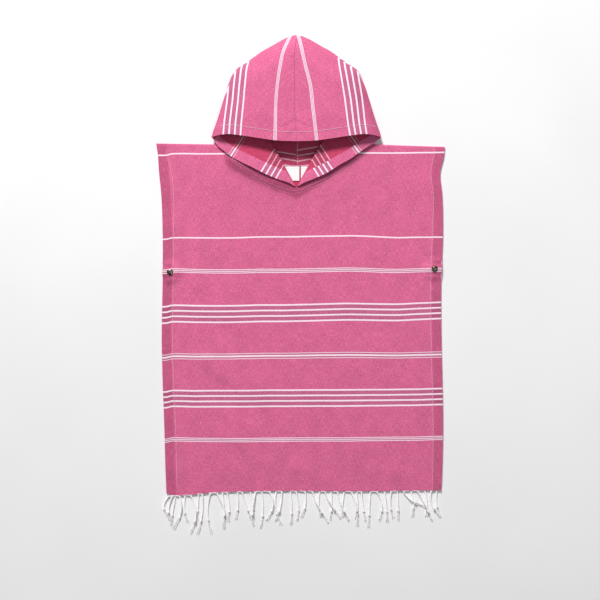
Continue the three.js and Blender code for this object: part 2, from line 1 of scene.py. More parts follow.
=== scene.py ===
# %% [markdown]
# A child's hooded bath poncho, laid flat and seen from straight above. The real one is a length of
# flat-woven cotton towel, folded at the shoulders, with a hood of two halves sewn into the neck.
# This lesson builds each cut piece of cloth as a surface worked out with numpy, gives every point
# its place in the flat towel, and lets one towel finish read the stripes from that place. So the
# stripes follow the cloth over each fold, as woven stripes do.

import bpy
import numpy as np
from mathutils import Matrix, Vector


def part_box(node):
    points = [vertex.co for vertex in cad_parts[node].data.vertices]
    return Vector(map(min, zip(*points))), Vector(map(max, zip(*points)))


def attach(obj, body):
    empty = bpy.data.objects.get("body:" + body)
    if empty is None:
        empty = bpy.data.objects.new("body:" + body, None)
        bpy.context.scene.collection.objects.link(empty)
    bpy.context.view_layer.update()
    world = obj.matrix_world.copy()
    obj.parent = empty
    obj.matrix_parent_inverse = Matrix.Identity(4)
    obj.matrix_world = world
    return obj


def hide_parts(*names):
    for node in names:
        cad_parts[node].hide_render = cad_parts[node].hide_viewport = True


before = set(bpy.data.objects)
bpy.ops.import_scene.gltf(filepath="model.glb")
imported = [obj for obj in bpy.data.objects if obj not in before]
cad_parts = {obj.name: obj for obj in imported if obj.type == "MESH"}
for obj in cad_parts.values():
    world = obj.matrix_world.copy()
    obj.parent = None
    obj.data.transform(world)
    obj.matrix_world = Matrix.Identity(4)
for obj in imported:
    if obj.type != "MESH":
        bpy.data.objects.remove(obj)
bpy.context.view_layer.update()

# %% [markdown]
# A tailor measures a garment from the neck. All the sizes below are in millimetres in such a frame:
# across is 0 at the middle of the neck, up is 0 at the shoulder fold and grows towards the hood, and
# high is the height above the ground. The neck label's box ties that frame to the fixed one, and
# the mesh builder turns millimetres into metres at the very end.

# %% The tailor's frame
LABEL_LEFT = -46.0
LABEL_TOP = -35.6
label_low, label_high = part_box("neck_label")
SHIFT = np.array([label_low.x * 1000 - LABEL_LEFT, label_high.y * 1000 - LABEL_TOP, 0.0])
CLOTH = 1.2
SEAM_GAP = 0.3
HALF = CLOTH / 2
GROUND_LAYER = HALF
LAYER_PITCH = CLOTH + SEAM_GAP
print("the tailor's frame starts at", SHIFT)


# %% Small helpers for tables and blends
def table(names, *rows):
    """A table with named columns: each row of numbers becomes a dict from name to number."""
    return [dict(zip(names.split(), row)) for row in rows]


def column(rows, name):
    """One named column of a table, as an array."""
    return np.array([row[name] for row in rows], float)


def sorted_columns(rows, key, value):
    """Two columns of a table, in the order of the first."""
    keys, values = column(rows, key), column(rows, value)
    order = np.argsort(keys)
    return keys[order], values[order]


def read_line(rows, key, value, at):
    """Straight lines between the rows of a table."""
    return np.interp(at, *sorted_columns(rows, key, value))


def read_curve(rows, key, value, at):
    """A smooth curve through the rows: cubic pieces, with the mean slope of its neighbours at a row."""
    keys, values = sorted_columns(rows, key, value)
    slopes = np.gradient(values, keys)
    at = np.clip(at, keys[0], keys[-1])
    i = np.clip(np.searchsorted(keys, at) - 1, 0, len(keys) - 2)
    width = keys[i + 1] - keys[i]
    t = (at - keys[i]) / width
    start = (1 + 2 * t) * (1 - t) ** 2 * values[i] + t * (1 - t) ** 2 * width * slopes[i]
    end = t**2 * (3 - 2 * t) * values[i + 1] - t**2 * (1 - t) * width * slopes[i + 1]
    return start + end


def ease(value, low, high):
    """0 below low, 1 above high, and a smooth step of 3t^2 - 2t^3 between."""
    t = np.clip((value - low) / (high - low), 0, 1)
    return t * t * (3 - 2 * t)


def blend(a, b, share):
    """a where share is 0, b where it is 1."""
    return a + (b - a) * share


# %% [markdown]
# Cloth has a thickness, so each piece is a wall. The wall is made from a grid of points on the
# middle of the cloth: every point is moved out and in by half the thickness along the normal, and
# the free edges are closed with a rim. Points that fall together become one, so that a fold line
# may run to nothing. Solidify could do this too, but here the two faces of the towel also need their
# own finish, because the reverse of a woven stripe is fainter, and the reverse's deeper red also
# holds painted shade.


# %% Mesh builders
WELDED_PER_MM = 200
SHARP_FROM = np.radians(62)
UP = np.array([0.0, 0.0, 1.0])


def put_mesh(name, points, faces, uv=None, slots=None, smooth=True):
    """A mesh object from points in millimetres in the tailor's frame, at the origin, in metres."""
    mesh = bpy.data.meshes.new(name)
    metres = (np.asarray(points, float) + SHIFT) / 1000
    faces = np.asarray(faces, np.int32)
    count, sides = faces.shape
    mesh.vertices.add(len(metres))
    mesh.vertices.foreach_set("co", metres.astype(np.float32).ravel())
    mesh.loops.add(count * sides)
    mesh.loops.foreach_set("vertex_index", faces.ravel())
    mesh.polygons.add(count)
    mesh.polygons.foreach_set("loop_start", np.arange(count, dtype=np.int32) * sides)
    mesh.polygons.foreach_set("use_smooth", np.full(count, smooth))
    if slots is not None:
        mesh.polygons.foreach_set("material_index", np.asarray(slots, np.int32))
    if uv is not None:
        layer = mesh.uv_layers.new(name="cloth")
        layer.data.foreach_set("uv", (np.asarray(uv, float) / 1000).astype(np.float32).ravel())
    mesh.update(calc_edges=True)
    mesh.validate()
    made = bpy.data.objects.new(name, mesh)
    bpy.context.scene.collection.objects.link(made)
    print(name, len(metres), "points,", count, "faces")
    return made


def cloth_wall(name, middle, pattern, facing=1, thick=CLOTH, keep=None, extra=0.0, painted_shade=0.0):
    """Points = middle point plus or minus the unit normal times half the thickness, and a closed rim.

    middle is a grid of points, pattern each point's place in the flat towel, and extra a height that
    is added to the outer side alone. Faces of the outer side take material 0, the inner side's 1.
    The last argument is painted shade, kept as a point attribute that the finish reads: it grows
    over the side hems, below the lapels' lips and round the hood's folded outline."""
    rows, columns = middle.shape[:2]
    corner = (np.arange(rows - 1)[:, None] * columns + np.arange(columns - 1)).ravel()
    if keep is not None:
        corner = corner[keep.ravel()]
    square = np.stack([corner, corner + columns, corner + columns + 1, corner + 1], 1)
    if facing < 0:
        square = square[:, ::-1]
    triangles = np.concatenate([square[:, [0, 1, 2]], square[:, [0, 2, 3]]])
    flat = middle.reshape(-1, 3)
    keys = np.round(flat * WELDED_PER_MM).astype(np.int64)
    _, first, same = np.unique(keys, axis=0, return_index=True, return_inverse=True)
    same = same.ravel()
    welded = same[triangles]
    whole = (welded != np.roll(welded, -1, axis=1)).all(axis=1)
    triangles, welded = triangles[whole], welded[whole]
    points = flat[first]
    a, b, c = points[welded[:, 0]], points[welded[:, 1]], points[welded[:, 2]]
    leaning = np.cross(b - a, c - a)
    normals = np.zeros_like(points)
    for k in range(3):
        np.add.at(normals, welded[:, k], leaning)
    normals /= np.maximum(np.linalg.norm(normals, axis=1, keepdims=True), 1e-12)
    raised = np.broadcast_to(extra, (rows, columns)).reshape(-1)[first][:, None]
    outer = points + normals * (thick / 2 + raised)
    inner = points - normals * thick / 2
    count = len(points)
    start = np.concatenate([welded[:, [0, 1]], welded[:, [1, 2]], welded[:, [2, 0]]])
    source = np.concatenate([triangles[:, [0, 1]], triangles[:, [1, 2]], triangles[:, [2, 0]]])
    forward = start[:, 0] * count + start[:, 1]
    backward = start[:, 1] * count + start[:, 0]
    free = ~np.isin(forward, backward)
    ends, ends_source = start[free], source[free]
    rim = np.concatenate(
        [
            np.stack([ends[:, 0], ends[:, 0] + count, ends[:, 1]], 1),
            np.stack([ends[:, 1], ends[:, 0] + count, ends[:, 1] + count], 1),
        ]
    )
    rim_source = np.concatenate([ends_source[:, [0, 0, 1]], ends_source[:, [1, 0, 1]]])
    faces = np.concatenate([welded, welded[:, ::-1] + count, rim])
    sources = np.concatenate([triangles, triangles[:, ::-1], rim_source])
    slots = np.repeat([0, 1, 0], [len(welded), len(welded), len(rim)])
    uv = pattern.reshape(-1, 2)[sources.ravel()]
    made = put_mesh(name, np.concatenate([outer, inner]), faces, uv, slots)
    made.data.set_sharp_from_angle(angle=SHARP_FROM)
    # Painted shade: these weights darken the finish where shadow and shading fall.
    painted_shade_weight = np.broadcast_to(painted_shade, (rows, columns)).reshape(-1)[first]
    layer = made.data.attributes.new("painted_shade", "FLOAT", "POINT")
    layer.data.foreach_set("value", np.concatenate([painted_shade_weight, painted_shade_weight]).astype(np.float32))
    return made


def grid_faces(rows, columns, closed=False):
    """Squares between the points of a grid; closed joins the last column to the first."""
    i = np.arange(rows - 1)[:, None]
    j = np.arange(columns if closed else columns - 1)[None, :]
    after = (j + 1) % columns
    parts = [i * columns + j, i * columns + after, (i + 1) * columns + after, (i + 1) * columns + j]
    return np.stack([part.ravel() for part in np.broadcast_arrays(*parts)], 1)


def finish_piece(piece, materials, slot, *nodes):
    """Material slots, the body that it rides on, and the solids that it stands for."""
    for material in materials:
        piece.data.materials.append(material)
    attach(piece, "root")
    if nodes:
        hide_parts(*nodes)
    return piece


# %% [markdown]
# The towel is a plain weave of pink warp and weft with white weft stripes. Up close it shows single
# threads; from a step away it shows short vertical flecks, because the warp is heathered. The
# first shader group below turns the place in the flat towel into those flecks and into the relief
# of the threads. The second one draws a set of equal stripes at any distance along the warp: a single
# line, three or four are the same group with other numbers, which keeps the material short.


# %% Shader helpers
def group(name, inputs, outputs):
    """An empty node group with float or vector sockets, given as name to (type, default)."""
    tree = bpy.data.node_groups.new(name, "ShaderNodeTree")
    for key, (kind, default) in inputs.items():
        socket = tree.interface.new_socket(key, in_out="INPUT", socket_type=kind)
        if default is not None:
            socket.default_value = default
    for key, kind in outputs.items():
        tree.interface.new_socket(key, in_out="OUTPUT", socket_type=kind)
    return tree, tree.nodes.new("NodeGroupInput"), tree.nodes.new("NodeGroupOutput")


def wire(tree, source, target):
    """Link two sockets, or set a plain value."""
    if isinstance(source, (int, float, tuple, list)):
        target.default_value = source
    else:
        tree.links.new(source, target)


def math_node(tree, operation, *values, clamp=False):
    """One Math node and its output."""
    node = tree.nodes.new("ShaderNodeMath")
    node.operation = operation
    node.use_clamp = clamp
    for k, value in enumerate(values):
        wire(tree, value, node.inputs[k])
    return node.outputs[0]


def mix_colours(tree, factor, a, b, kind="MIX"):
    """One Mix Color node and its output."""
    node = tree.nodes.new("ShaderNodeMix")
    node.data_type = "RGBA"
    node.blend_type = kind
    wire(tree, factor, node.inputs[0])
    wire(tree, a, node.inputs[6])
    wire(tree, b, node.inputs[7])
    return node.outputs[2]


def ramp_value(tree, value, low, high, to_low=0.0, to_high=1.0):
    """Map Range with a smooth step."""
    node = tree.nodes.new("ShaderNodeMapRange")
    node.interpolation_type = "SMOOTHSTEP"
    for k, number in enumerate((value, low, high, to_low, to_high)):
        wire(tree, number, node.inputs[k])
    return node.outputs[0]


def noise(tree, vector, scale, detail=2.0, rough=0.5):
    """Noise Texture on a vector, with its plain factor."""
    node = tree.nodes.new("ShaderNodeTexNoise")
    wire(tree, vector, node.inputs["Vector"])
    wire(tree, scale, node.inputs["Scale"])
    wire(tree, detail, node.inputs["Detail"])
    wire(tree, rough, node.inputs["Roughness"])
    return node.outputs[0]


def stretched(tree, vector, scale):
    """A vector with each part multiplied."""
    node = tree.nodes.new("ShaderNodeVectorMath")
    node.operation = "MULTIPLY"
    wire(tree, vector, node.inputs[0])
    wire(tree, scale, node.inputs[1])
    return node.outputs[0]


def grey(tree, value):
    """One number as a grey colour."""
    node = tree.nodes.new("ShaderNodeCombineColor")
    for k in range(3):
        tree.links.new(value, node.inputs[k])
    return node.outputs[0]


def new_material(name, colour_of, **sockets):
    """A material with plain values on its shader; colour_of(tree, shader) wires the rest up."""
    material = bpy.data.materials.new(name)
    material.use_nodes = True
    tree = material.node_tree
    shader = tree.nodes["Principled BSDF"]
    for socket, value in sockets.items():
        shader.inputs[socket.replace("_", " ")].default_value = value
    tree.links.new(colour_of(tree, shader), shader.inputs["Base Color"])
    return material


def bumped(tree, shader, height, strength, distance):
    """Height into a Bump node, and that into the shader's normal."""
    node = tree.nodes.new("ShaderNodeBump")
    node.inputs["Strength"].default_value = strength
    node.inputs["Distance"].default_value = distance
    tree.links.new(height, node.inputs["Height"])
    tree.links.new(node.outputs[0], shader.inputs["Normal"])


def object_place(tree):
    """A point's place on its object, which is its place in the whole, in metres."""
    return tree.nodes.new("ShaderNodeTexCoord").outputs["Object"]


def cloth_place(tree):
    """The piece's own place in the flat towel, from its UV map."""
    node = tree.nodes.new("ShaderNodeUVMap")
    node.uv_map = "cloth"
    return node.outputs["UV"]


def placed_group(tree, group_tree, links, **values):
    """A shader group in a material, with what feeds it and its plain numbers."""
    node = tree.nodes.new("ShaderNodeGroup")
    node.node_tree = group_tree
    for socket, source in links.items():
        tree.links.new(source, node.inputs[socket])
    for socket, value in values.items():
        node.inputs[socket.replace("_", " ")].default_value = float(value)
    return node.outputs


# %% Group: threads and flecks of a plain weave
SLUBS = (1.5, 0.12, 1)
SHORT_FLECKS = (1.3, 0.4, 1)
SPECKS = (1.5, 1.5, 1)
CLOUDS = (0.05, 0.03, 1)


def build_weave_group():
    """Relief = product of a sine wave for the warp and one for the weft; flecks = stretched noise."""
    tree, given, out = group(
        "Plain weave",
        {
            "Place": ("NodeSocketVector", None),
            "Warp pitch": ("NodeSocketFloat", 0.9),
            "Weft pitch": ("NodeSocketFloat", 1.1),
        },
        {"Relief": "NodeSocketFloat", "Fleck": "NodeSocketFloat", "Cloud": "NodeSocketFloat"},
    )
    in_mm = stretched(tree, given.outputs["Place"], (1000, 1000, 1000))
    split = tree.nodes.new("ShaderNodeSeparateXYZ")
    tree.links.new(in_mm, split.inputs[0])
    waves = []
    for k, pitch in enumerate(("Warp pitch", "Weft pitch")):
        half_turns = math_node(tree, "MULTIPLY", split.outputs[k], np.pi)
        turns = math_node(tree, "DIVIDE", half_turns, given.outputs[pitch])
        waves.append(math_node(tree, "SINE", turns))
    over = math_node(tree, "MULTIPLY", *waves)
    relief = math_node(tree, "MULTIPLY_ADD", over, 0.5, 0.5)
    slubs = noise(tree, stretched(tree, in_mm, SLUBS), 1.0, 1.0)
    short = noise(tree, stretched(tree, in_mm, SHORT_FLECKS), 1.0, 1.0)
    specks = noise(tree, stretched(tree, in_mm, SPECKS), 1.0, 0.0)
    fleck = math_node(tree, "MULTIPLY_ADD", short, 0.4, math_node(tree, "MULTIPLY", slubs, 0.3))
    fleck = math_node(tree, "MULTIPLY_ADD", specks, 0.3, fleck)
    cloud = noise(tree, stretched(tree, in_mm, CLOUDS), 1.0, 2.0)
    tree.links.new(relief, out.inputs["Relief"])
    tree.links.new(fleck, out.inputs["Fleck"])
    tree.links.new(cloud, out.inputs["Cloud"])
    return tree


# %% Group: a set of equal stripes
STRIPE_SOFT = 0.25


def build_stripe_group():
    """Mask = 1 where |along - first - pitch * step| is below half the width, with step the nearest
    whole number from 0 to the last, and a smooth edge."""
    tree, given, out = group(
        "Woven stripes",
        {
            "Along": ("NodeSocketFloat", 0.0),
            "First": ("NodeSocketFloat", 0.0),
            "Pitch": ("NodeSocketFloat", 1.0),
            "Last": ("NodeSocketFloat", 0.0),
            "Half width": ("NodeSocketFloat", 1.2),
            "Strength": ("NodeSocketFloat", 1.0),
        },
        {"Mask": "NodeSocketFloat"},
    )
    from_first = math_node(tree, "SUBTRACT", given.outputs["Along"], given.outputs["First"])
    steps = math_node(tree, "ROUND", math_node(tree, "DIVIDE", from_first, given.outputs["Pitch"]))
    steps = math_node(tree, "MINIMUM", math_node(tree, "MAXIMUM", steps, 0.0), given.outputs["Last"])
    line = math_node(tree, "MULTIPLY", steps, given.outputs["Pitch"])
    away = math_node(tree, "ABSOLUTE", math_node(tree, "SUBTRACT", from_first, line))
    inside = math_node(tree, "SUBTRACT", given.outputs["Half width"], STRIPE_SOFT)
    outside = math_node(tree, "ADD", given.outputs["Half width"], STRIPE_SOFT)
    mask = math_node(tree, "SUBTRACT", 1.0, ramp_value(tree, away, inside, outside))
    tree.links.new(math_node(tree, "MULTIPLY", mask, given.outputs["Strength"]), out.inputs["Mask"])
    return tree


WEAVE = build_weave_group()
STRIPES = build_stripe_group()

# %% [markdown]
# The towel's stripe plan repeats: four lines, a bold line with a faint one on each side, four
# lines, and a thin triple. Each table row gives the first line, the step to the next one, how many
# more there are, half the width of a line and how white it is. On the body the distance is counted
# from the shoulder fold, and on the hood from the tip of the V along the face edge.

# %% Stripe plans
BODY_STRIPES = table(
    "first pitch more half white",
    (15.2, 9.0, 0, 1.15, 1.0),
    (151.2, 9.0, 0, 1.15, 1.0),
    (204.1, 2.7, 2, 0.62, 1.0),
    (262.7, 8.93, 3, 1.3, 1.0),
    (346.0, 9.0, 0, 1.3, 1.0),
    (341.8, 8.4, 1, 0.65, 0.75),
    (402.6, 8.77, 3, 1.3, 1.0),
    (480.9, 2.7, 2, 0.62, 1.0),
)
HOOD_LEFT_STRIPES = table(
    "first pitch more half white",
    (38.0, 9.8, 3, 1.3, 1.0),
    (128.5, 9.0, 0, 1.3, 1.0),
    (123.9, 9.2, 1, 0.6, 0.5),
    (186.5, 9.35, 3, 1.3, 1.0),
    (268.0, 2.0, 2, 0.6, 0.9),
)
HOOD_RIGHT_STRIPES = table(
    "first pitch more half white",
    (47.6, 9.0, 3, 1.3, 1.0),
    (128.5, 9.0, 0, 1.3, 1.0),
    (123.9, 9.2, 1, 0.6, 0.5),
    (185.4, 8.9, 3, 1.3, 1.0),
    (268.0, 2.0, 2, 0.6, 0.9),
)

# %% Towel finishes
PINK_DEEP = (0.51, 0.078, 0.190, 1)
PINK = (0.70, 0.125, 0.282, 1)
PINK_PALE = (0.83, 0.25, 0.43, 1)
WHITE_YARN = (1.0, 0.81, 0.91, 1)
REVERSE_YARN = (1.0, 0.66, 0.75, 1)
# The reverse face's own deeper red, with painted shade in it as well.
REVERSE_TONE_AND_SHADE = (0.80, 0.40, 0.46, 1)
# Painted shade: the pink is multiplied by this colour over the side hems, below the lapels' lips and round
# the hood's folded outline.
PAINTED_SHADE_COLOUR = (0.68, 0.56, 0.61, 1)
BETWEEN_SHADE = (0.82, 0.98, 0.93, 1)


REVERSE_WHITENESS = 0.55
REVERSE_LINE_WIDTH = 0.8
WANDER_STRETCH = (14, 3, 1)
WANDER_REACH = 1.6
DARK_FLECKS = (0.38, 0.49)
PALE_FLECKS = (0.5, 0.62)
CLOUD_SHADES = (0.3, 0.7, 0.94, 1.04)
CROSSING_SHADES = (0.38, 0.52, 0.86, 1.0)
STRIPE_RELIEF = 0.35
FLECK_RELIEF = 1.2


def stripe_mask(tree, along, first, pitch, last, half_width, strength):
    """One stripe group with its numbers, and its mask."""
    numbers = {"First": first, "Pitch": pitch, "Last": last, "Half_width": half_width, "Strength": strength}
    return placed_group(tree, STRIPES, {"Along": along}, **numbers)[0]


def larger(tree, masks):
    """The largest of several masks."""
    most = masks[0]
    for mask in masks[1:]:
        most = math_node(tree, "MAXIMUM", most, mask)
    return most


def stripe_masks(tree, along, stripes, reverse):
    """White on every line of the plan, and the bands between the outer lines of each set."""
    lines, bands = [], []
    for row in stripes:
        strength = row["white"] * (REVERSE_WHITENESS if reverse else 1.0)
        half = row["half"] * (REVERSE_LINE_WIDTH if reverse else 1.0)
        lines.append(stripe_mask(tree, along, row["first"], row["pitch"], row["more"], half, strength))
        if row["more"] > 0:
            reach = row["more"] / 2 * row["pitch"]
            bands.append(stripe_mask(tree, along, row["first"] + reach, 9.0, 0, reach, 1.0))
    return larger(tree, lines), larger(tree, bands)


def shaded(tree, where, colour, shade):
    """The colour multiplied by a shade where the mask is 1."""
    return mix_colours(tree, where, colour, mix_colours(tree, 1.0, colour, shade, "MULTIPLY"))


def towel_material(name, stripes, reverse=False):
    """Pink by flecks, whitened under the stripes; the relief of the weave feeds the bump."""

    def towel(tree, shader):
        place = cloth_place(tree)
        weave = placed_group(tree, WEAVE, {"Place": place})
        split = tree.nodes.new("ShaderNodeSeparateXYZ")
        tree.links.new(place, split.inputs[0])
        along = math_node(tree, "MULTIPLY", math_node(tree, "ABSOLUTE", split.outputs[1]), 1000.0)
        wander = noise(tree, stretched(tree, place, WANDER_STRETCH), 1.0, 1.0)
        wander = math_node(tree, "MULTIPLY_ADD", wander, WANDER_REACH, -WANDER_REACH / 2)
        along = math_node(tree, "ADD", along, wander)
        lines, between = stripe_masks(tree, along, stripes, reverse)
        dark = ramp_value(tree, weave["Fleck"], *DARK_FLECKS)
        pale = ramp_value(tree, weave["Fleck"], *PALE_FLECKS)
        pink = mix_colours(tree, dark, PINK_DEEP, PINK)
        pink = mix_colours(tree, pale, pink, PINK_PALE)
        clouded = ramp_value(tree, weave["Cloud"], *CLOUD_SHADES)
        pink = mix_colours(tree, 1.0, pink, grey(tree, clouded), "MULTIPLY")
        pink = shaded(tree, between, pink, BETWEEN_SHADE)
        # Reverse face: its own deeper red, with painted shade in it as well.
        if reverse:
            pink = mix_colours(tree, 1.0, pink, REVERSE_TONE_AND_SHADE, "MULTIPLY")
        # Painted shade, read from the point attribute: darker over hems, below the lips and along the
        # hood's folded edges.
        painted_shade_weight = tree.nodes.new("ShaderNodeAttribute")
        painted_shade_weight.attribute_name = "painted_shade"
        pink = shaded(tree, painted_shade_weight.outputs["Fac"], pink, PAINTED_SHADE_COLOUR)
        white = math_node(tree, "MULTIPLY", lines, ramp_value(tree, weave["Fleck"], *CROSSING_SHADES))
        height = math_node(tree, "MULTIPLY_ADD", lines, STRIPE_RELIEF, weave["Relief"])
        flecks = math_node(tree, "MULTIPLY", weave["Fleck"], FLECK_RELIEF)
        bumped(tree, shader, math_node(tree, "ADD", height, flecks), 0.35, 0.0004)
        return mix_colours(tree, white, pink, REVERSE_YARN if reverse else WHITE_YARN)

    return new_material(
        name,
        towel,
        Roughness=0.86,
        Specular_IOR_Level=0.25,
        Sheen_Weight=0.06 if reverse else 0.22,
        Sheen_Roughness=0.45,
        Sheen_Tint=(1.0, 0.86, 0.93, 1),
    )


towel_body = towel_material("Towel, body", BODY_STRIPES)
towel_body_reverse = towel_material("Towel, body reverse", BODY_STRIPES, reverse=True)
towel_left = towel_material("Towel, left hood", HOOD_LEFT_STRIPES)
towel_left_reverse = towel_material("Towel, left hood reverse", HOOD_LEFT_STRIPES, reverse=True)
towel_right = towel_material("Towel, right hood", HOOD_RIGHT_STRIPES)
towel_right_reverse = towel_material("Towel, right hood reverse", HOOD_RIGHT_STRIPES, reverse=True)

# %% [markdown]
# Sewing thread, fringe yarn, label tape and stud metal are plain things, but none is one flat
# colour: yarn varies at random between a pale and a deeper tone, tape has a fine weave, and the
# metal's dark bronze coating is rubbed lighter in patches.


# %% Yarn, tape and metal finishes
def yarn_material(name, pale, shade, fibre_scale):
    """Noise along the fibres mixes a pale and a shaded yarn and gives a fuzzy bump."""

    def yarn(tree, shader):
        stretch = (fibre_scale, fibre_scale * 0.4, fibre_scale)
        fibres = noise(tree, stretched(tree, object_place(tree), stretch), 1.0, 3.0, 0.6)
        bumped(tree, shader, fibres, 0.5, 0.0003)
        return mix_colours(tree, ramp_value(tree, fibres, 0.35, 0.65), shade, pale)

    return new_material(name, yarn, Roughness=0.8, Sheen_Weight=0.3)


def rubbed_bronze(tree, shader):
    """Dark bronze with lighter rubbed patches, from noise, in colour and roughness."""
    patches = noise(tree, object_place(tree), 420.0, 3.0, 0.6)
    tree.links.new(ramp_value(tree, patches, 0.35, 0.7, 0.16, 0.34), shader.inputs["Roughness"])
    return mix_colours(tree, ramp_value(tree, patches, 0.48, 0.7), BRONZE_DARK, BRONZE_RUBBED)


def woven_tape(tree, shader):
    """White tape with a fine weave and a shade of flecks."""
    weave = placed_group(tree, WEAVE, {"Place": cloth_place(tree)}, Warp_pitch=0.35, Weft_pitch=0.35)
    bumped(tree, shader, weave["Relief"], 0.3, 0.0001)
    return mix_colours(tree, ramp_value(tree, weave["Fleck"], 0.35, 0.6), TAPE_SHADE, TAPE_WHITE)


BRONZE_DARK = (0.12, 0.095, 0.075, 1)
BRONZE_RUBBED = (0.62, 0.52, 0.42, 1)
TAPE_SHADE = (0.86, 0.86, 0.87, 1)
TAPE_WHITE = (0.95, 0.95, 0.95, 1)
fringe_yarn = yarn_material("Fringe yarn", (0.99, 0.97, 0.98, 1), (0.95, 0.90, 0.93, 1), 900.0)
seam_thread = yarn_material("Seam thread", (0.85, 0.40, 0.56, 1), (0.72, 0.26, 0.43, 1), 1500.0)
white_thread = yarn_material("White seam thread", (0.93, 0.90, 0.92, 1), (0.80, 0.72, 0.77, 1), 1500.0)
pale_thread = yarn_material("Pale seam thread", (0.93, 0.62, 0.74, 1), (0.84, 0.45, 0.6, 1), 1500.0)
bronze = new_material("Antique bronze", rubbed_bronze, Metallic=1.0)
tape = new_material("White label tape", woven_tape, Roughness=0.55, Sheen_Weight=0.1)

# %% [markdown]
# The body is one length of towel folded at the shoulders. As it lies, its side edges wander, the
# hems droop a little to the left, and the front is lifted round the neck by the hood that lies
# there. The tables give those lines, and every point of both layers is worked out from two shares:
# how far across and how far down.

# %% Sizes of the body
SIDE_EDGES = table(
    "down left right",
    (0, 229.5, 243.2),
    (13, 227.3, 242.4),
    (47, 224.7, 235.5),
    (80, 221.4, 238.5),
    (147, 218.9, 239.8),
    (214, 218.8, 237.2),
    (324, 220.4, 237.4),
    (391, 218.8, 239.0),
    (458, 216.3, 240.0),
    (542, 213.9, 238.2),
    (572, 212.6, 236.8),
)
SHOULDER_LINE = table(
    "across up",
    (-230, 1.6),
    (-140, 0),
    (125, 0),
    (195, -2.5),
    (244, -4.1),
)
HEM_LINE = table(
    "across down",
    (-230, 572.0),
    (-208, 575.4),
    (-188, 574.6),
    (-142, 570.7),
    (-76, 568.3),
    (6, 567.6),
    (88, 568.3),
    (170, 567.4),
    (244, 566.4),
)
NECK_HALF_WIDTH = 113.0
NECK_FRONT_DEPTH = 70.0
NECK_BACK_DEPTH = 35.0
NECK_MEAN_RADIUS = 90
LIP = table(
    "out left right",
    (2.6, -69.4, -69.4),
    (11, -64.6, -64.6),
    (30, -58.2, -56.8),
    (50, -50.0, -47.6),
    (70, -39.9, -35.0),
    (89, -30.6, -24.2),
    (108, -19.9, -10.6),
    (120, -10.4, -2.8),
    (129, -2.6, 3.0),
    (136.6, 8.9, 9.3),
)
TUCKED_UNDER = 3.0
LIP_RIDGE = {"left": 5.6, "right": 2.8}
NECK_LIFT = 2.0
NECK_LIFT_REACH = 45.0
SIDE_BEND_FROM = 130.0
SIDE_HEM = 15.0
RIPPLES = table(
    "high across down turn",
    (0.55, 160, 330, 0.4),
    (0.40, 92, -240, 1.9),
    (0.30, 240, 96, 3.1),
)
SNAPS = table(
    "side across up",
    ("left", -206.6, -209.4),
    ("right", 226.2, -204.2),
)
SNAP_PRESSED_REACH = 7.0
SNAP_LIFT_REACH = 24.0
SNAP_BACK_LIFT = 1.2
SNAP_FRONT_LIFT = 3.9
CREASES = table(
    "across up to_across to_up wide deep",
    (-166, -374, -27, -472, 15, -1.0),
    (43, -476, 75, -558, 11, -0.9),
    (112, -517, 104, -562, 8, -0.6),
    (-10, -501, -43, -562, 10, -0.6),
    (-138, -296, -92, -333, 14, -0.7),
    (-187, -222, -162, -255, 9, -0.6),
    (22, -340, 24, -400, 10, -0.4),
    (-146, -353, -121, -382, 12, 0.7),
    (-142, -464, -93, -489, 12, 0.8),
    (160, -538, 188, -545, 14, 0.7),
    (80, -470, 92, -510, 13, 0.6),
    (0, -530, 26, -545, 12, 0.6),
    (-166, -200, -160, -226, 12, 0.6),
)
SNAP_CREASES = table(
    "across up to_across to_up wide deep",
    (-16, 9.5, -2, 8.0, 2.6, -1.7),
    (-2, 8.0, 20, 11.0, 2.2, -0.8),
    (-14, -10.0, 4, -8.0, 2.6, -1.5),
    (4, -8.0, 24, -9.0, 2.4, -0.9),
    (6, 10.0, 18, 30.0, 4.0, -0.7),
    (-10, -12.0, -6, -34.0, 4.0, -0.7),
)


# Painted shadow below the lapels' lips: how wide the band is on the left, on the right, and where it ends.
LIP_SHADOW_WIDE = 21.0
LIP_SHADOW_NARROW = 11.0
LIP_SHADOW_ENDS = (108, 124)
CREASE_STRENGTH = 1.35
CREASES_BEGIN = (90, 160)
LIP_SLANT = 0.88
RIDGE_BROAD = 15.0
RIDGE_NARROW = 8.0
RIDGE_LOW = 1.4
LIP_ENDS = (100, 124)


# %% The body as it lies
def on_its_side(across, rows, key, at):
    """A table's left column where across is negative, and its right one elsewhere."""
    return np.where(across < 0, read_curve(rows, key, "left", at), read_curve(rows, key, "right", at))


def crease_depth(creases, across, up):
    """Sum of soft troughs: depth times exp(-(distance to the crease's line / width)^2)."""
    total = np.zeros(np.broadcast(across, up).shape)
    for row in creases:
        start = np.array([row["across"], row["up"]], float)
        way = np.array([row["to_across"], row["to_up"]], float) - start
        share = ((across - start[0]) * way[0] + (up - start[1]) * way[1]) / (way @ way)
        share = np.clip(share, 0, 1)
        away = np.hypot(across - start[0] - share * way[0], up - start[1] - share * way[1])
        total = total + row["deep"] * np.exp(-((away / row["wide"]) ** 2))
    return total


def body_pitch(across, up):
    """From the back layer's middle to the front's: pressed flat, lifted round the neck."""
    ring = np.hypot(across / NECK_HALF_WIDTH, up / NECK_FRONT_DEPTH)
    away = np.maximum(0, ring - 1) * NECK_MEAN_RADIUS
    return LAYER_PITCH + NECK_LIFT * np.exp(-((away / NECK_LIFT_REACH) ** 2))


def near_snap(across, up):
    """1 at a press stud, eased to 0 round it."""
    most = 0.0
    for snap in SNAPS:
        away = np.hypot(across - snap["across"], up - snap["up"])
        most = np.maximum(most, 1 - ease(away, SNAP_PRESSED_REACH, SNAP_LIFT_REACH))
    return most


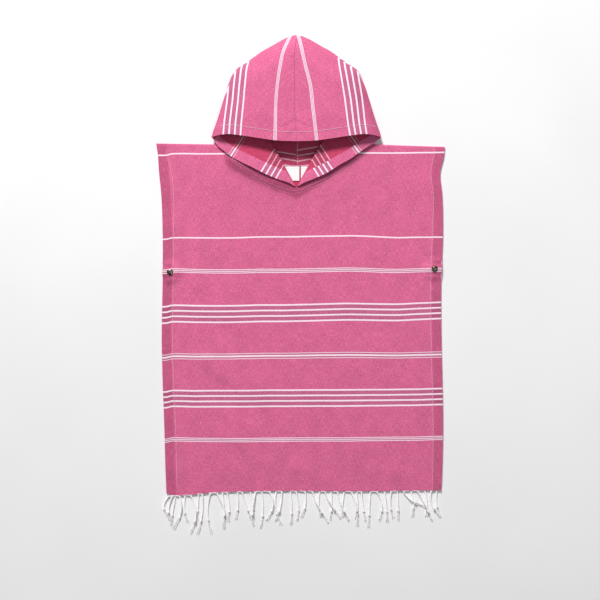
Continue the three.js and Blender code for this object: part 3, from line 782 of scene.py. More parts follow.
def ripple(across, up):
    """Sum of half sine waves, none below the pressed cloth, faded out at the edges."""
    total = 0.0
    for wave in RIPPLES:
        turn = across / wave["across"] + up / wave["down"]
        total = total + wave["high"] * (1 + np.sin(2 * np.pi * turn + wave["turn"])) / 2
    from_side = np.minimum(np.minimum(215 - np.abs(across - 7), 560 + up), -up)
    return total * ease(from_side, 0, 40)


def neck_edge(half_width, depth, across):
    """Half an ellipse: -depth * sqrt(1 - (across / half width)^2)."""
    share = np.clip(across / half_width, -1, 1)
    return -depth * np.sqrt(1 - share**2)


def front_neck_edge(across, half_width, inset=0.0):
    """The front neck edge lies just under the lip of the lapels and turns up into the shoulder fold:
    (lip + tuck) * sqrt(1 - (across / half width)^10)."""
    out = np.abs(across)
    lip = on_its_side(across, LIP, "out", out)
    tucked = lip - HALF + TUCKED_UNDER * ease(out, 3, 20) + inset
    return tucked * np.sqrt(np.maximum(0, 1 - np.minimum(1, out / half_width) ** 10))


def lip_ridge(across, up):
    """The seam allowance under the lips lifts the cloth: a ridge along the lip, broader on the left."""
    out = np.abs(across)
    away = (on_its_side(across, LIP, "out", out) - up) * LIP_SLANT
    broad = np.where(across < 0, RIDGE_BROAD, blend(RIDGE_BROAD, RIDGE_NARROW, ease(out, 0, 50)))
    high = np.where(across < 0, LIP_RIDGE["left"], LIP_RIDGE["right"])
    high = blend(RIDGE_LOW, high, ease(out, 2, 36)) * (1 - ease(out, *LIP_ENDS))
    return high * np.exp(-((np.maximum(away, 0) / broad) ** 2)) * ease(away, -6.0, 2.0)


def lip_painted_shadow(across, up):
    """Painted shadow below the lapels' lips: 1 in a band along the lip, wider on the left, and 0 beyond it.
    """
    out = np.abs(across)
    from_lip = (on_its_side(across, LIP, "out", out) - up) * LIP_SLANT
    wide = np.where(across < 0, LIP_SHADOW_WIDE, blend(LIP_SHADOW_WIDE, LIP_SHADOW_NARROW, ease(out, 0, 60)))
    return (1 - ease(from_lip, 0.6 * wide, wide)) * (1 - ease(out, *LIP_SHADOW_ENDS))


def front_high(across, up, lift):
    """Height of the front's middle: pressed cloth, ripples, creases and the ridge, lifted at the studs."""
    creases = CREASE_STRENGTH * crease_depth(CREASES, across, up) * ease(-up, *CREASES_BEGIN)
    relief = (ripple(across, up) + creases) * (1 - lift)
    pressed = np.maximum(body_pitch(across, up) + relief, LAYER_PITCH - 0.1) + lip_ridge(across, up)
    return GROUND_LAYER + blend(pressed, LAYER_PITCH + SNAP_FRONT_LIFT, lift)


def snap_pinches(across, up):
    """Creases that run out from the press studs, mirrored from side to side."""
    total = np.zeros(across.shape)
    for snap in SNAPS:
        mirrored = 1 if snap["side"] == "left" else -1
        total += crease_depth(SNAP_CREASES, (across - snap["across"]) * mirrored, up - snap["up"])
    return total


def body_layer(columns, shares, front):
    """Grid of middle points: rows run down by share, columns across, bent to the side edges."""
    across, share = np.meshgrid(columns, shares)
    fold = read_line(SHOULDER_LINE, "across", "up", across) - body_pitch(across, 0) / 2 - HALF
    in_neck = np.abs(across) < NECK_HALF_WIDTH - 1e-6
    if front:
        opening = front_neck_edge(across, NECK_HALF_WIDTH)
    else:
        opening = neck_edge(NECK_HALF_WIDTH, NECK_BACK_DEPTH, across)
    up = blend(np.where(in_neck, opening, fold), -read_curve(HEM_LINE, "across", "down", across), share)
    widest = np.where(across < 0, SIDE_EDGES[0]["left"], SIDE_EDGES[0]["right"])
    edge = on_its_side(across, SIDE_EDGES, "down", -up) - widest
    bend = np.maximum(0, (np.abs(across) - SIDE_BEND_FROM) / (widest - SIDE_BEND_FROM))
    across = across + np.sign(across) * edge * bend
    lift = near_snap(across, up)
    back_high = GROUND_LAYER + SNAP_BACK_LIFT * lift
    if not front:
        return np.stack([across, up, back_high], -1)
    high = front_high(across, up, lift) + snap_pinches(across, up)
    lowest = GROUND_LAYER + LAYER_PITCH + SNAP_BACK_LIFT * lift
    return np.stack([across, up, np.maximum(high, lowest)], -1)


# %% [markdown]
# The weft lies a little crooked in the real cloth: each stripe runs a few millimetres lower at the
# left side than in the middle. A table gives that at three places across for each stripe, and the
# place in the flat towel is the real distance down less that drift.

# %% Drift of the weft
WEFT_DRIFT = table(
    "down left right",
    (15, 1.2, -1.6),
    (151, 3.8, 1.0),
    (207, 1.6, -0.7),
    (276, 2.9, -3.3),
    (346, 2.5, -1.3),
    (416, 1.6, -2.2),
    (484, 1.0, -2.3),
    (572, 1.0, -2.0),
)
WEFT_WAVE = table(
    "across low",
    (-215, -1.4),
    (-160, -0.1),
    (-110, 1.2),
    (-60, 0.6),
    (0, 0.1),
    (60, -1.1),
    (100, -1.3),
    (130, -0.2),
    (165, 0.9),
    (200, 0.2),
    (235, -0.2),
)


def weft_drift(across, down):
    """The table's drift at each side, eased in from the middle with the square of the distance, the
    wave that the lines have across the upper half, and their step at the left side hem."""
    to_left = np.clip(-across / 200, 0, 1.1) ** 2 * read_curve(WEFT_DRIFT, "down", "left", down)
    to_right = np.clip(across / 215, 0, 1.1) ** 2 * read_curve(WEFT_DRIFT, "down", "right", down)
    fading = ease(down, 60, 120) * (1 - 0.75 * ease(down, 290, 400))
    wave = read_curve(WEFT_WAVE, "across", "low", across) * fading
    into = across + 219
    step = blend(1.5, -0.9, ease(into, 4, 17)) * (1 - ease(into, 25, 60))
    return to_left + to_right + wave + step


def body_pattern(points, front):
    """Place in the flat towel: across, and the distance from the shoulder fold, negative on the back."""
    across, down = points[..., 0], -points[..., 1]
    along = down - weft_drift(across, down)
    return np.stack([across, along if front else -along], -1)


# %% Make the body
COLUMN_STEP = 2.9
FRONT_ROWS = 196
BACK_ROWS = 60
BOW_STEPS = 5
BOW_CUT = 3
HEM_HIGH = 0.45
# Painted shade over the side hems.
HEM_PAINTED_SHADE = 0.6
PUCKER_HIGH = 0.25
PUCKER_PITCH = 13.0


def body_columns(step):
    """Evenly spaced columns to each side, and cosine-spaced ones over the neck, where it curves."""
    side_count = int(round((SIDE_EDGES[0]["right"] - SIDE_BEND_FROM) / step))
    neck_count = int(round(2 * NECK_HALF_WIDTH / step))
    left = np.linspace(-SIDE_EDGES[0]["left"], -SIDE_BEND_FROM, side_count + 1)[:-1]
    right = np.linspace(SIDE_BEND_FROM, SIDE_EDGES[0]["right"], side_count + 1)[1:]
    between = np.linspace(-SIDE_BEND_FROM, -NECK_HALF_WIDTH, 6)[:-1]
    neck = -NECK_HALF_WIDTH * np.cos(np.linspace(0, np.pi, neck_count + 1))
    columns = np.concatenate([left, between, neck, -between[::-1], right])
    first = len(left) + len(between)
    return columns, first, first + neck_count


def shoulder_bow(front, back):
    """Half a circle of points from the front's top row over to the back's, and their place in the cut."""
    turns = np.linspace(0, np.pi, BOW_STEPS + 2)[1:-1][:, None]
    centre = (front[-1] + back[0]) / 2
    radius = (front[-1, :, 2] - back[0, :, 2]) / 2
    across = np.broadcast_to(centre[:, 0], (BOW_STEPS, len(centre)))
    up = centre[:, 1] + radius * np.sin(turns)
    high = centre[:, 2] + radius * np.cos(turns)
    bow = np.stack([across, up, high], -1)
    return bow, np.stack([across, np.broadcast_to(BOW_CUT * np.cos(turns), across.shape)], -1)


def build_body():
    """Front, bow and back in one grid, open at the neck, with a second layer down the side hems."""
    columns, neck_from, neck_to = body_columns(COLUMN_STEP)
    front = body_layer(columns, (np.linspace(0, 1, FRONT_ROWS) ** 1.04)[::-1], True)
    back = body_layer(columns, np.linspace(0, 1, BACK_ROWS) ** 1.2, False)
    bow, bow_place = shoulder_bow(front, back)
    middle = np.concatenate([front, bow, back])
    pattern = np.concatenate([body_pattern(front, True), bow_place, body_pattern(back, False)])
    keep = np.ones((middle.shape[0] - 1, middle.shape[1] - 1), bool)
    keep[len(front) - 1 : len(front) + BOW_STEPS, neck_from:neck_to] = False
    across, up = middle[..., 0], middle[..., 1]
    in_front = np.arange(len(middle))[:, None] < len(front)
    into = on_its_side(across, SIDE_EDGES, "down", -up) - np.abs(across)
    hem = HEM_HIGH * (1 - ease(into, SIDE_HEM - 2.2, SIDE_HEM + 1.2))
    puckers = PUCKER_HIGH * np.sin(up / PUCKER_PITCH + np.sign(across))
    puckers = puckers * np.exp(-(((into - SIDE_HEM) / 5) ** 2))
    extra = np.where(in_front, hem + puckers, 0.0)
    # Painted shade over the side hems, and painted shadow below the lapels' lips.
    painted_shade = HEM_PAINTED_SHADE * (1 - ease(into, SIDE_HEM - 0.6, SIDE_HEM + 1.2))
    painted_shade = np.where(in_front, np.maximum(painted_shade, lip_painted_shadow(across, up)), painted_shade)
    body = cloth_wall("body_cloth", middle, pattern, facing=-1, keep=keep, extra=extra, painted_shade=painted_shade)
    return finish_piece(body, [towel_body, towel_body_reverse], "towel", "body")


body_cloth = build_body()

# %% [markdown]
# Each half of the hood is one flat cut. Laid down, it folds along three lines that meet in a point
# on its outline, so that it lies in four panels: the back, with its inside up, the stand, the lapel
# that is turned out and shows its inside again, and the crown over all of them. The grid below
# goes round each of those folds with a half circle of points, and each point keeps its place in the
# flat cut, counted from the face edge (s) and up along it (h).

# %% Sizes of the hood
OUTLINE = table(
    "up out",
    (10.3, 139),
    (17, 137.0),
    (37, 129.9),
    (68, 120.3),
    (92, 112.9),
    (106, 107.7),
    (114, 104.4),
    (121.5, 98.6),
    (131.5, 83.8),
    (141, 70.8),
    (151, 57.3),
    (161, 39.8),
    (172, 20.8),
    (177.5, 8),
    (179, 0),
)
BRIM = table(
    "out up",
    (0, 2.3),
    (30, 3.2),
    (60, 7.2),
    (90, 11.7),
    (112, 14.1),
    (128, 12.6),
    (139, 10.3),
)
HOOD_NECK_HALF_WIDTH = 109.0
HOOD_NECK_BACK_DEPTH = 34.7
OUTLINE_INSET = 2.4
PLEAT_POINT = np.array([103.0, 112.0])
PLEAT_OUT = 104.4
PEAK = np.array([0.15, 176.4])
V_TIP = np.array([2.6, -69.4])
NECK_CORNER = np.array([HOOD_NECK_HALF_WIDTH, 0.0])
BACK_NECK = np.array([PEAK[0], -HOOD_NECK_BACK_DEPTH])
STAND_HIGH = 4.1
PANEL_PITCH = 3.4
LAPEL_HIGH = STAND_HIGH + PANEL_PITCH
CROWN_EDGE_HIGH = LAPEL_HIGH + PANEL_PITCH
PEAK_EDGE_HIGH = 4.6
CROWN_PUFF = 13.5
CROWN_PUFF_REACH = 13.0
LAPEL_PUFF = 1.2
CROWN_CREASES = table(
    "across up to_across to_up wide deep",
    (0, -10, 0, 120, 11, -1.3),
    (2, 34, 15, 25, 3.4, -0.7),
    (0, 20, 10, 13, 3.0, -0.6),
    (26, 60, 22, 130, 12, -0.8),
    (60, 40, 66, 95, 16, 0.9),
)
SEAM_BEND = -3.2
LIP_RISE = {"left": 5.4, "right": 3.2}
CUT_PLEAT = np.array([112.0, 203.0])
CUT_CORNER = 165.0
CUT_SHOULDER = np.array([118.0, 69.0])
CUT_BACK_NECK = np.array([245.0, 50.0])
CUT_PEAK = np.array([175.0, 273.0])
CROWN_TOP = table(
    "from_face left right",
    (0, 304.0, 303.0),
    (75, 301.5, 297.5),
    (91, 299.5, 295.5),
    (124, 293.5, 287.5),
    (139, 290.5, 284.0),
    (177, 279.5, 272.0),
)
CROWN_DRAWN_IN = table(
    "from_face left right",
    (0, -1.0, 3.6),
    (18, 0.4, 5.0),
    (37, 2.6, 5.6),
    (57, 4.5, 6.4),
    (76, 4.5, 7.7),
    (91, 3.8, 8.3),
    (106, 2.3, 7.5),
    (124, 1.2, 6.2),
    (177, 0, 4.0),
)
DRAWN_IN_BETWEEN = {"left": (0, 60), "right": (28, 82)}
BACK_TILT = np.arctan(0.16)
# Painted shade along the hood's folded outline, and how far in on the crown it fades out.
FOLD_PAINTED_SHADE = 0.42
FOLD_PAINTED_SHADE_REACH = (3, 30)


# %% The hood's outline and its crown
def outline_up(out):
    """How far up the outline is, at a distance out from the middle."""
    return read_curve(OUTLINE, "out", "up", out)


def outline_out(up):
    """How far out from the middle the outline is, at a height up."""
    return read_curve(OUTLINE, "up", "out", up)


def outline_stations(outs):
    """Points of the outline moved in by the fold's roundness, and the way out of the fold."""
    ups = outline_up(outs)
    step = 1.5
    low = np.stack([outline_out(ups - step), ups - step], -1)
    further = np.maximum(outs - step, 0)
    high = np.stack([further, outline_up(further)], -1)
    run = high - low
    way = np.stack([run[:, 1], -run[:, 0]], -1)
    way /= np.linalg.norm(way, axis=1, keepdims=True)
    way[outs < 1] = (0, 1)
    way[outs > OUTLINE[0]["out"] - 1] = (1, 0)
    place = np.stack([outs, ups], -1) - way * OUTLINE_INSET
    place[:, 0] = np.maximum(place[:, 0], PEAK[0])
    return place, way


def from_outline(out, up, inset=0.0):
    """Distance in from the outline: a b / sqrt(a^2 + b^2), from the ways a sideways and b upwards."""
    sideways = np.maximum(0, outline_out(np.maximum(up, OUTLINE[0]["up"])) - inset - out)
    upwards = np.maximum(0, outline_up(np.minimum(out, OUTLINE[0]["out"])) - inset - up)
    return sideways * upwards / np.maximum(1e-6, np.hypot(sideways, upwards))


def crown_high(out, up):
    """The crown's edge height plus a puff that grows with the distance from the folded edge."""
    edge = blend(PEAK_EDGE_HIGH, CROWN_EDGE_HIGH, ease(out, 0, PLEAT_POINT[0]))
    away = from_outline(out, up, OUTLINE_INSET)
    puffed = blend(edge, CROWN_EDGE_HIGH + CROWN_PUFF, 1 - np.exp(-away / CROWN_PUFF_REACH))
    return puffed + crease_depth(CROWN_CREASES, out, up) * ease(away, 0, 12)


# %% The hood's lapel
def lapel_point(side, u, v, corner, edge_out, edge_up):
    """From the lip at v = 0 to the V fold at v = 1, rising with u from the tip to the outline."""
    lip_out = blend(V_TIP[0], LIP[-1]["out"], u)
    lip_up = read_curve(LIP, "out", side, lip_out)
    fold = blend(V_TIP, PLEAT_POINT, u[..., None])
    flat_out = blend(corner[0], PLEAT_POINT[0], v)
    flat_up = blend(corner[1], PLEAT_POINT[1], v)
    bulge = u**3
    out = blend(lip_out, fold[..., 0], v) + bulge * (edge_out - flat_out)
    out = out + bulge * (1 - v) * (corner[0] - LIP[-1]["out"])
    up = blend(lip_up, fold[..., 1], v) + bulge * (edge_up - flat_up)
    puff = np.sin(np.pi * np.minimum(1, 0.25 + 0.75 * v)) * (1 - u) * ease(u, 0, 0.08)
    standing = (1 - v) ** 1.5 * np.sin(np.pi * np.minimum(1, u * 1.08)) * LIP_RISE[side]
    return np.stack([out, up, LAPEL_HIGH + LAPEL_PUFF * puff + standing], -1)


def lapel_cut(u, v):
    """Place in the flat cut of the same point."""
    s = CUT_PLEAT[0] * u * v
    return np.stack([s, CUT_CORNER * u + (CUT_PLEAT[1] - CUT_CORNER) * u * v], -1)


# %% The hood's lower panels
LAPEL_CELLS = 46
STAND_CELLS = 14
BACK_CELLS = 60
LOWER_ROWS = 90
CROWN_ROWS = 84
NOSE_STEPS = 5
TUCK = PANEL_PITCH * 0.42
MIRRORED = {"left": -1, "right": 1}
PANEL_SHARES = np.linspace(0, 1, LOWER_ROWS + 1) ** 0.9
LAPEL_SHARES = np.linspace(0, 1, LAPEL_CELLS + 1)
STAND_SHARES = np.linspace(0, 1, STAND_CELLS + 1)
BACK_SHARES = np.linspace(0, 1, BACK_CELLS + 1)
NOSE_TURNS = np.linspace(0, np.pi, NOSE_STEPS + 2)[1:-1]
V_FOLD = blend(V_TIP, PLEAT_POINT, PANEL_SHARES[:, None])
SIDE_FOLD = blend(NECK_CORNER, PLEAT_POINT, PANEL_SHARES[:, None])
CENTRE_SEAM = blend(BACK_NECK, PEAK, PANEL_SHARES[:, None])


def round_fold(fold, outwards, low, half_pitch):
    """Half a circle of points round a fold: out + outwards * sin a, low + half pitch * (1 + cos a)."""
    still = 0 * fold[:, None, 0]
    out = fold[:, None, 0] + outwards * np.sin(NOSE_TURNS)
    up = fold[:, None, 1] + 0 * NOSE_TURNS
    high = low + half_pitch + half_pitch * np.cos(NOSE_TURNS) + still
    return np.stack([out, up, high], -1)


def flat_panel(first, last, shares, neck_arc):
    """Points between two fold lines, bent at the neck from the straight chord to the neck's arc."""
    chord = blend(first[0], last[0], shares[:, None])
    flat = blend(first[:, None], last[:, None], shares[None, :, None])
    return flat + (1 - PANEL_SHARES)[:, None, None] * (neck_arc - chord)


def with_height(flat, high):
    """The same points, all at one height."""
    return np.concatenate([flat, np.full(flat.shape[:2] + (1,), high)], -1)


def lower_panels(side, lapel_edge, back_edge):
    """Rows from the neck edge up to the outline; columns from the face edge over lapel, stand and
    back to the centre back seam, round both folds."""
    u, v = np.meshgrid(PANEL_SHARES, LAPEL_SHARES, indexing="ij")
    lapel = lapel_point(side, u, v, lapel_edge[0], lapel_edge[None, :, 0], lapel_edge[None, :, 1])
    along = (PLEAT_POINT - V_TIP) / np.linalg.norm(PLEAT_POINT - V_TIP)
    round_v = round_fold(V_FOLD, -along[1] * TUCK, STAND_HIGH, PANEL_PITCH / 2)
    out = blend(V_TIP[0], HOOD_NECK_HALF_WIDTH, np.sin(np.pi / 2 * STAND_SHARES))
    arc = np.stack([out, front_neck_edge(out * MIRRORED[side], HOOD_NECK_HALF_WIDTH, HALF)], -1)
    stand = with_height(flat_panel(V_FOLD, SIDE_FOLD, STAND_SHARES, arc), STAND_HIGH)
    round_side = round_fold(SIDE_FOLD, TUCK, GROUND_LAYER, (STAND_HIGH - GROUND_LAYER) / 2)
    out = np.maximum(PEAK[0], HOOD_NECK_HALF_WIDTH * np.sin(np.pi / 2 * (1 - BACK_SHARES)))
    arc = np.stack([out, neck_edge(HOOD_NECK_HALF_WIDTH, HOOD_NECK_BACK_DEPTH, out)], -1)
    back = flat_panel(SIDE_FOLD, CENTRE_SEAM, BACK_SHARES, arc)
    straight = blend(back_edge[0], PEAK, BACK_SHARES[:, None])
    back = back + (PANEL_SHARES**2)[:, None, None] * (back_edge - straight)
    return np.concatenate([lapel, round_v, stand, round_side, with_height(back, GROUND_LAYER)], 1)


# %% Round the outline and down the crown
def outline_run():
    """The outline's stations beside the lapel and beside the back, and all of them as one line with
    a station for each column of the lower panels."""
    lapel_ups = blend(OUTLINE[0]["up"], outline_up(PLEAT_OUT), LAPEL_SHARES)
    lapel_edge, lapel_way = outline_stations(outline_out(lapel_ups))
    back_edge, back_way = outline_stations(PLEAT_OUT * (1 - BACK_SHARES))
    gap = NOSE_STEPS + STAND_CELLS + 1 + NOSE_STEPS
    edge = np.concatenate([lapel_edge, np.repeat(back_edge[:1], gap, 0), back_edge])
    way = np.concatenate([lapel_way, np.repeat(back_way[:1], gap, 0), back_way])
    edge[LAPEL_CELLS] = back_edge[0]
    way[LAPEL_CELLS] = back_way[0]
    return lapel_edge, back_edge, edge, way


def round_outline(last_high, edge, way):
    """Half an ellipse of points from the lower panels' last row, round the fold, up to the crown."""
    edge_high = crown_high(edge[:, 0], edge[:, 1])
    under = np.full(len(edge), LAPEL_HIGH)
    under[-BACK_CELLS:] = GROUND_LAYER
    at_pleat = np.isclose(edge[:, 0], edge[LAPEL_CELLS, 0])
    under = blend(last_high, under, at_pleat)
    reach = np.minimum(OUTLINE_INSET - HALF, (edge_high - under) / 2)
    turns = NOSE_TURNS[:, None]
    out = np.maximum(edge[:, 0] + way[:, 0] * reach * np.sin(turns), PEAK[0])
    up = edge[:, 1] + way[:, 1] * reach * np.sin(turns)
    high = (edge_high + under) / 2 - (edge_high - under) / 2 * np.cos(turns)
    return np.stack([out, up, high], -1)


def crown_panel(side, edge):
    """Rows from the outline down to the brim; the seam in the middle bends to the left."""
    share = (1 - (1 - np.linspace(0, 1, CROWN_ROWS + 1)) ** 0.8)[:, None]
    low = read_curve(BRIM, "out", "up", edge[:, 0])
    low[0] = edge[0, 1]
    up = blend(edge[:, 1], low, share)
    out = np.broadcast_to(edge[:, 0], up.shape)
    most = np.maximum(outline_out(up), 1.0)
    bend = SEAM_BEND * ease(up, 0, 70) * (1 - ease(up, 140, 177)) * (1 - np.clip(out / most, 0, 1) ** 2)
    return out, up, np.stack([out + MIRRORED[side] * bend, up, crown_high(out, up)], -1)


# %% Places in the flat cut
def lower_cut(back):
    """The lower panels' places in the flat cut. Near the neck the back's are its own places turned
    by a small tilt, and towards the outline they spread between the two fold lines."""
    u, v = np.meshgrid(PANEL_SHARES, LAPEL_SHARES, indexing="ij")
    u3 = PANEL_SHARES[:, None, None]
    cut_v = u3 * CUT_PLEAT
    cut_side = blend(CUT_SHOULDER, CUT_PLEAT, u3)
    cut_seam = blend(CUT_BACK_NECK, CUT_PEAK, u3)
    stand = blend(cut_v, cut_side, STAND_SHARES[None, :, None])
    out, from_neck = back[..., 0], back[..., 1] + HOOD_NECK_BACK_DEPTH
    near_s = CUT_BACK_NECK[0] - np.cos(BACK_TILT) * out - np.sin(BACK_TILT) * from_neck
    near_h = CUT_BACK_NECK[1] + np.cos(BACK_TILT) * from_neck - np.sin(BACK_TILT) * out
    far = blend(cut_side, cut_seam, BACK_SHARES[None, :, None])
    spread = blend(np.stack([near_s, near_h], -1), far, ease(PANEL_SHARES, 0.35, 0.8)[:, None, None])
    noses = [np.broadcast_to(cut, (len(u), NOSE_STEPS, 2)) for cut in (cut_v, cut_side)]
    return np.concatenate([lapel_cut(u, v), noses[0], stand, noses[1], spread], 1)


def crown_cut(side, out, up):
    """The crown's places: s from the brim, and h from a table less the distance out, drawn in."""
    from_face = np.maximum(0, up - read_curve(BRIM, "out", "up", out))
    top = read_curve(CROWN_TOP, "from_face", side, from_face)
    drawn_in = read_curve(CROWN_DRAWN_IN, "from_face", side, from_face)
    drawn_in = drawn_in * ease(out, *DRAWN_IN_BETWEEN[side])
    return np.stack([from_face, top - out - drawn_in], -1)


def hood_grid(side):
    """The whole half as one grid: its middle points, their places in the cut, and its painted shade."""
    lapel_edge, back_edge, edge, way = outline_run()
    lower = lower_panels(side, lapel_edge, back_edge)
    out, up, crown = crown_panel(side, edge)
    middle = np.concatenate([lower, round_outline(lower[-1, :, 2], edge, way), crown])
    lower_place = lower_cut(lower[:, -BACK_CELLS - 1 :])
    crown_place = crown_cut(side, out, up)
    share_out = (np.arange(1, NOSE_STEPS + 1) / (NOSE_STEPS + 1))[:, None, None]
    round_place = blend(lower_place[-1][None], crown_place[:1], share_out)
    pattern = np.concatenate([lower_place, round_place, crown_place])
    # Painted shade: full round the folded outline, fading out across the crown.
    fold_painted_shade = np.zeros(middle.shape[:2])
    fold_painted_shade[-len(up) :] = FOLD_PAINTED_SHADE * (1 - ease(from_outline(out, up), *FOLD_PAINTED_SHADE_REACH))
    fold_painted_shade[len(lower) : -len(up)] = FOLD_PAINTED_SHADE
    return middle, pattern, fold_painted_shade


# %% Make the hood
def build_hood(side, materials):
    """One half as a wall of cloth, mirrored for the left side."""
    middle, pattern, fold_painted_shade = hood_grid(side)
    middle = middle * np.array([MIRRORED[side], 1, 1])
    hood = cloth_wall(f"hood_{side}_cloth", middle, pattern, facing=-MIRRORED[side], painted_shade=fold_painted_shade)
    return finish_piece(hood, materials, "towel", f"hood_{side}")


hood_left_cloth = build_hood("left", [towel_left, towel_left_reverse])
hood_right_cloth = build_hood("right", [towel_right, towel_right_reverse])

# %% [markdown]
# The face edge is hemmed: 15 mm of the towel is turned to the inside and stitched down. On the lapel
# the inside is what shows, so the turned band is a second layer there, with the towel's bright
# face up, and its stripes don't quite meet those beside it. It is a strip of its own that lies on
# the lapel: its points are found from their place in the cut.

# %% Hem band on the lapels
FACE_HEM = 15.0
BAND_ABOVE = CLOTH * 0.75 + 0.08


def hem_band(side, jump, material):
    """Invert the lapel's cut: with s and h given, u = (h - 38 s / 112) / 165 and v = (s / 112) / u."""
    h = np.linspace(1.5, CUT_CORNER - 1.0, 150)[:, None]
    s = np.linspace(0.05, FACE_HEM, 12)[None, :]
    u = np.clip((h - (CUT_PLEAT[1] - CUT_CORNER) * s / CUT_PLEAT[0]) / CUT_CORNER, 0.004, 0.999)
    v = np.clip(s / CUT_PLEAT[0] / u, 0, 0.995)
    ups = blend(OUTLINE[0]["up"], outline_up(PLEAT_OUT), v)
    edge, _ = outline_stations(outline_out(ups).ravel())
    corner, _ = outline_stations(np.array([float(OUTLINE[0]["out"])]))
    edge = edge.reshape(v.shape + (2,))
    points = lapel_point(side, u, v, corner[0], edge[..., 0], edge[..., 1])
    points[..., 2] += BAND_ABOVE
    points = points * np.array([MIRRORED[side], 1, 1])
    place = np.stack([np.broadcast_to(-s, u.shape), np.broadcast_to(h + jump, u.shape)], -1)
    made = cloth_wall(f"hem_band_{side}", points, place, facing=MIRRORED[side], thick=CLOTH * 0.5)
    return finish_piece(made, [material, material], "towel")


hem_band_left = hem_band("left", 0.0, towel_left)
hem_band_right = hem_band("right", 5.5, towel_right)

# %% [markdown]
# Seams are sewn with thread that shows as a row of short raised stitches. One stitch is a thin
# spindle; a seam is that spindle laid again and again along a line. All stitches of one seam are
# computed at once as one array.


# %% Stitches
def resampled(points, pitch):
    """Points at an even pitch along a line of points."""
    steps = np.linalg.norm(np.diff(points, axis=0), axis=1)
    run = np.concatenate([[0], np.cumsum(steps)])
    at = np.arange(pitch / 2, run[-1], pitch)
    return np.stack([np.interp(at, run, points[:, k]) for k in range(3)], -1)


STITCH_ENDS = np.array([[0, 3, 2, 1], [0, 5, 4, 3]])
STITCH_BULGE = 0.12


def stitch_row(name, line, thread, pitch=3.2, long=2.5, radius=0.28, rings=5, sides=6):
    """Spindle rings: centre + along * x + (aside cos a + up sin a) * radius * sqrt(1 - x^2)."""
    centres = resampled(line, pitch)
    along = np.gradient(centres, axis=0)
    along /= np.linalg.norm(along, axis=1, keepdims=True)
    up = UP - along * along[:, 2:3]
    up /= np.linalg.norm(up, axis=1, keepdims=True)
    aside = np.cross(up, along)
    x = np.linspace(-0.96, 0.96, rings)[None, :, None, None]
    turn = (2 * np.pi * np.arange(sides) / sides)[None, None, :, None]
    thick = radius * np.sqrt(1 - x**2)
    points = (
        centres[:, None, None]
        + along[:, None, None] * x * long / 2
        + (aside[:, None, None] * np.cos(turn) + up[:, None, None] * np.sin(turn)) * thick
        + up[:, None, None] * STITCH_BULGE * (1 - x**2)
    )
    ends = np.concatenate([STITCH_ENDS, STITCH_ENDS[:, ::-1] + (rings - 1) * sides])
    one = np.concatenate([grid_faces(rings, sides, closed=True)[:, ::-1], ends[:, ::-1]])
    faces = (one[None] + (np.arange(len(centres)) * rings * sides)[:, None, None]).reshape(-1, 4)
    made = put_mesh(name, points.reshape(-1, 3), faces)
    return finish_piece(made, [thread], "towel")


def on_front(across, up, above):
    """Points on top of the front layer, found again from its height formula."""
    high = front_high(across, up, near_snap(across, up))
    return np.stack([across, up, high + HALF + above], -1)


STITCH_ABOVE = 0.1
SIDE_STITCH_ABOVE = STITCH_ABOVE + 0.25
PALE_EDGE_LOOPS_ABOVE = -0.45
SIDE_STITCHES = table(
    "down left right",
    (14, 213.0, 226.5),
    (47, 204.7, 220.4),
    (80, 201.2, 224.0),
    (147, 201.2, 222.7),
    (200, 201.2, 220.5),
    (300, 202.9, 220.4),
    (391, 201.2, 222.4),
    (458, 198.0, 223.9),
    (568, 195.3, 223.0),
)


def side_stitches(side):
    """A row down the inner edge of a side hem."""
    down = np.linspace(8, 566, 280)
    across = MIRRORED[side] * read_curve(SIDE_STITCHES, "down", side, down)
    line = on_front(across, -down, SIDE_STITCH_ABOVE)
    return stitch_row(f"side_seam_{side}", line, pale_thread, radius=0.42)


def pale_edge_loops(side):
    """A row of pale loops along the side edge, just outside the fold, makes a thin pale rim there."""
    down = np.linspace(4, 568, 280)
    across = MIRRORED[side] * (read_curve(SIDE_EDGES, "down", side, down) - 0.1)
    line = on_front(across, -down, PALE_EDGE_LOOPS_ABOVE)
    return stitch_row(f"selvedge_{side}", line, pale_thread, pitch=3.0, long=3.3, radius=0.6)


side_seam_left = side_stitches("left")
side_seam_right = side_stitches("right")
pale_edge_loops("left")
pale_edge_loops("right")

# %% Seams of the neck, the brim and the labels
NECK_STITCHES = table(
    "across up",
    (-119, -5),
    (-112, -15),
    (-85, -38),
    (-56, -58),
    (-28, -71),
    (1, -76),
    (24, -67),
    (60, -50),
    (101, -21),
    (118, -5),
)
NECK_ROWS_APART = 4.5
BRIM_STITCHES_TO = 128
BACK_TOP = GROUND_LAYER + HALF
BACK_SEAM_UP = np.linspace(-33, 60, 90)
LABEL_SEAM_ACROSS = np.linspace(-50, 30, 80)
LABEL_SEAM_HIGH = 2.45

neck_across = np.linspace(-119, 118, 300)
neck_up = read_curve(NECK_STITCHES, "across", "up", neck_across)
neck_line = on_front(neck_across, neck_up, STITCH_ABOVE + 0.1)
neck_seam = stitch_row("neck_seam", neck_line, seam_thread, radius=0.34)
outer_line = on_front(neck_across, neck_up - NECK_ROWS_APART, STITCH_ABOVE)
neck_seam_outer = stitch_row("neck_seam_outer", outer_line, seam_thread, pitch=3.6)


def brim_stitches(side):
    """A row on the crown, 15 mm above the brim."""
    out = np.linspace(0.8, BRIM_STITCHES_TO, 160)
    up = read_curve(BRIM, "out", "up", out) + FACE_HEM
    high = crown_high(out, up) + HALF + STITCH_ABOVE + 0.15
    line = np.stack([out * MIRRORED[side], up, high], -1)
    stitch_row(f"brim_seam_{side}", line, white_thread, radius=0.36)


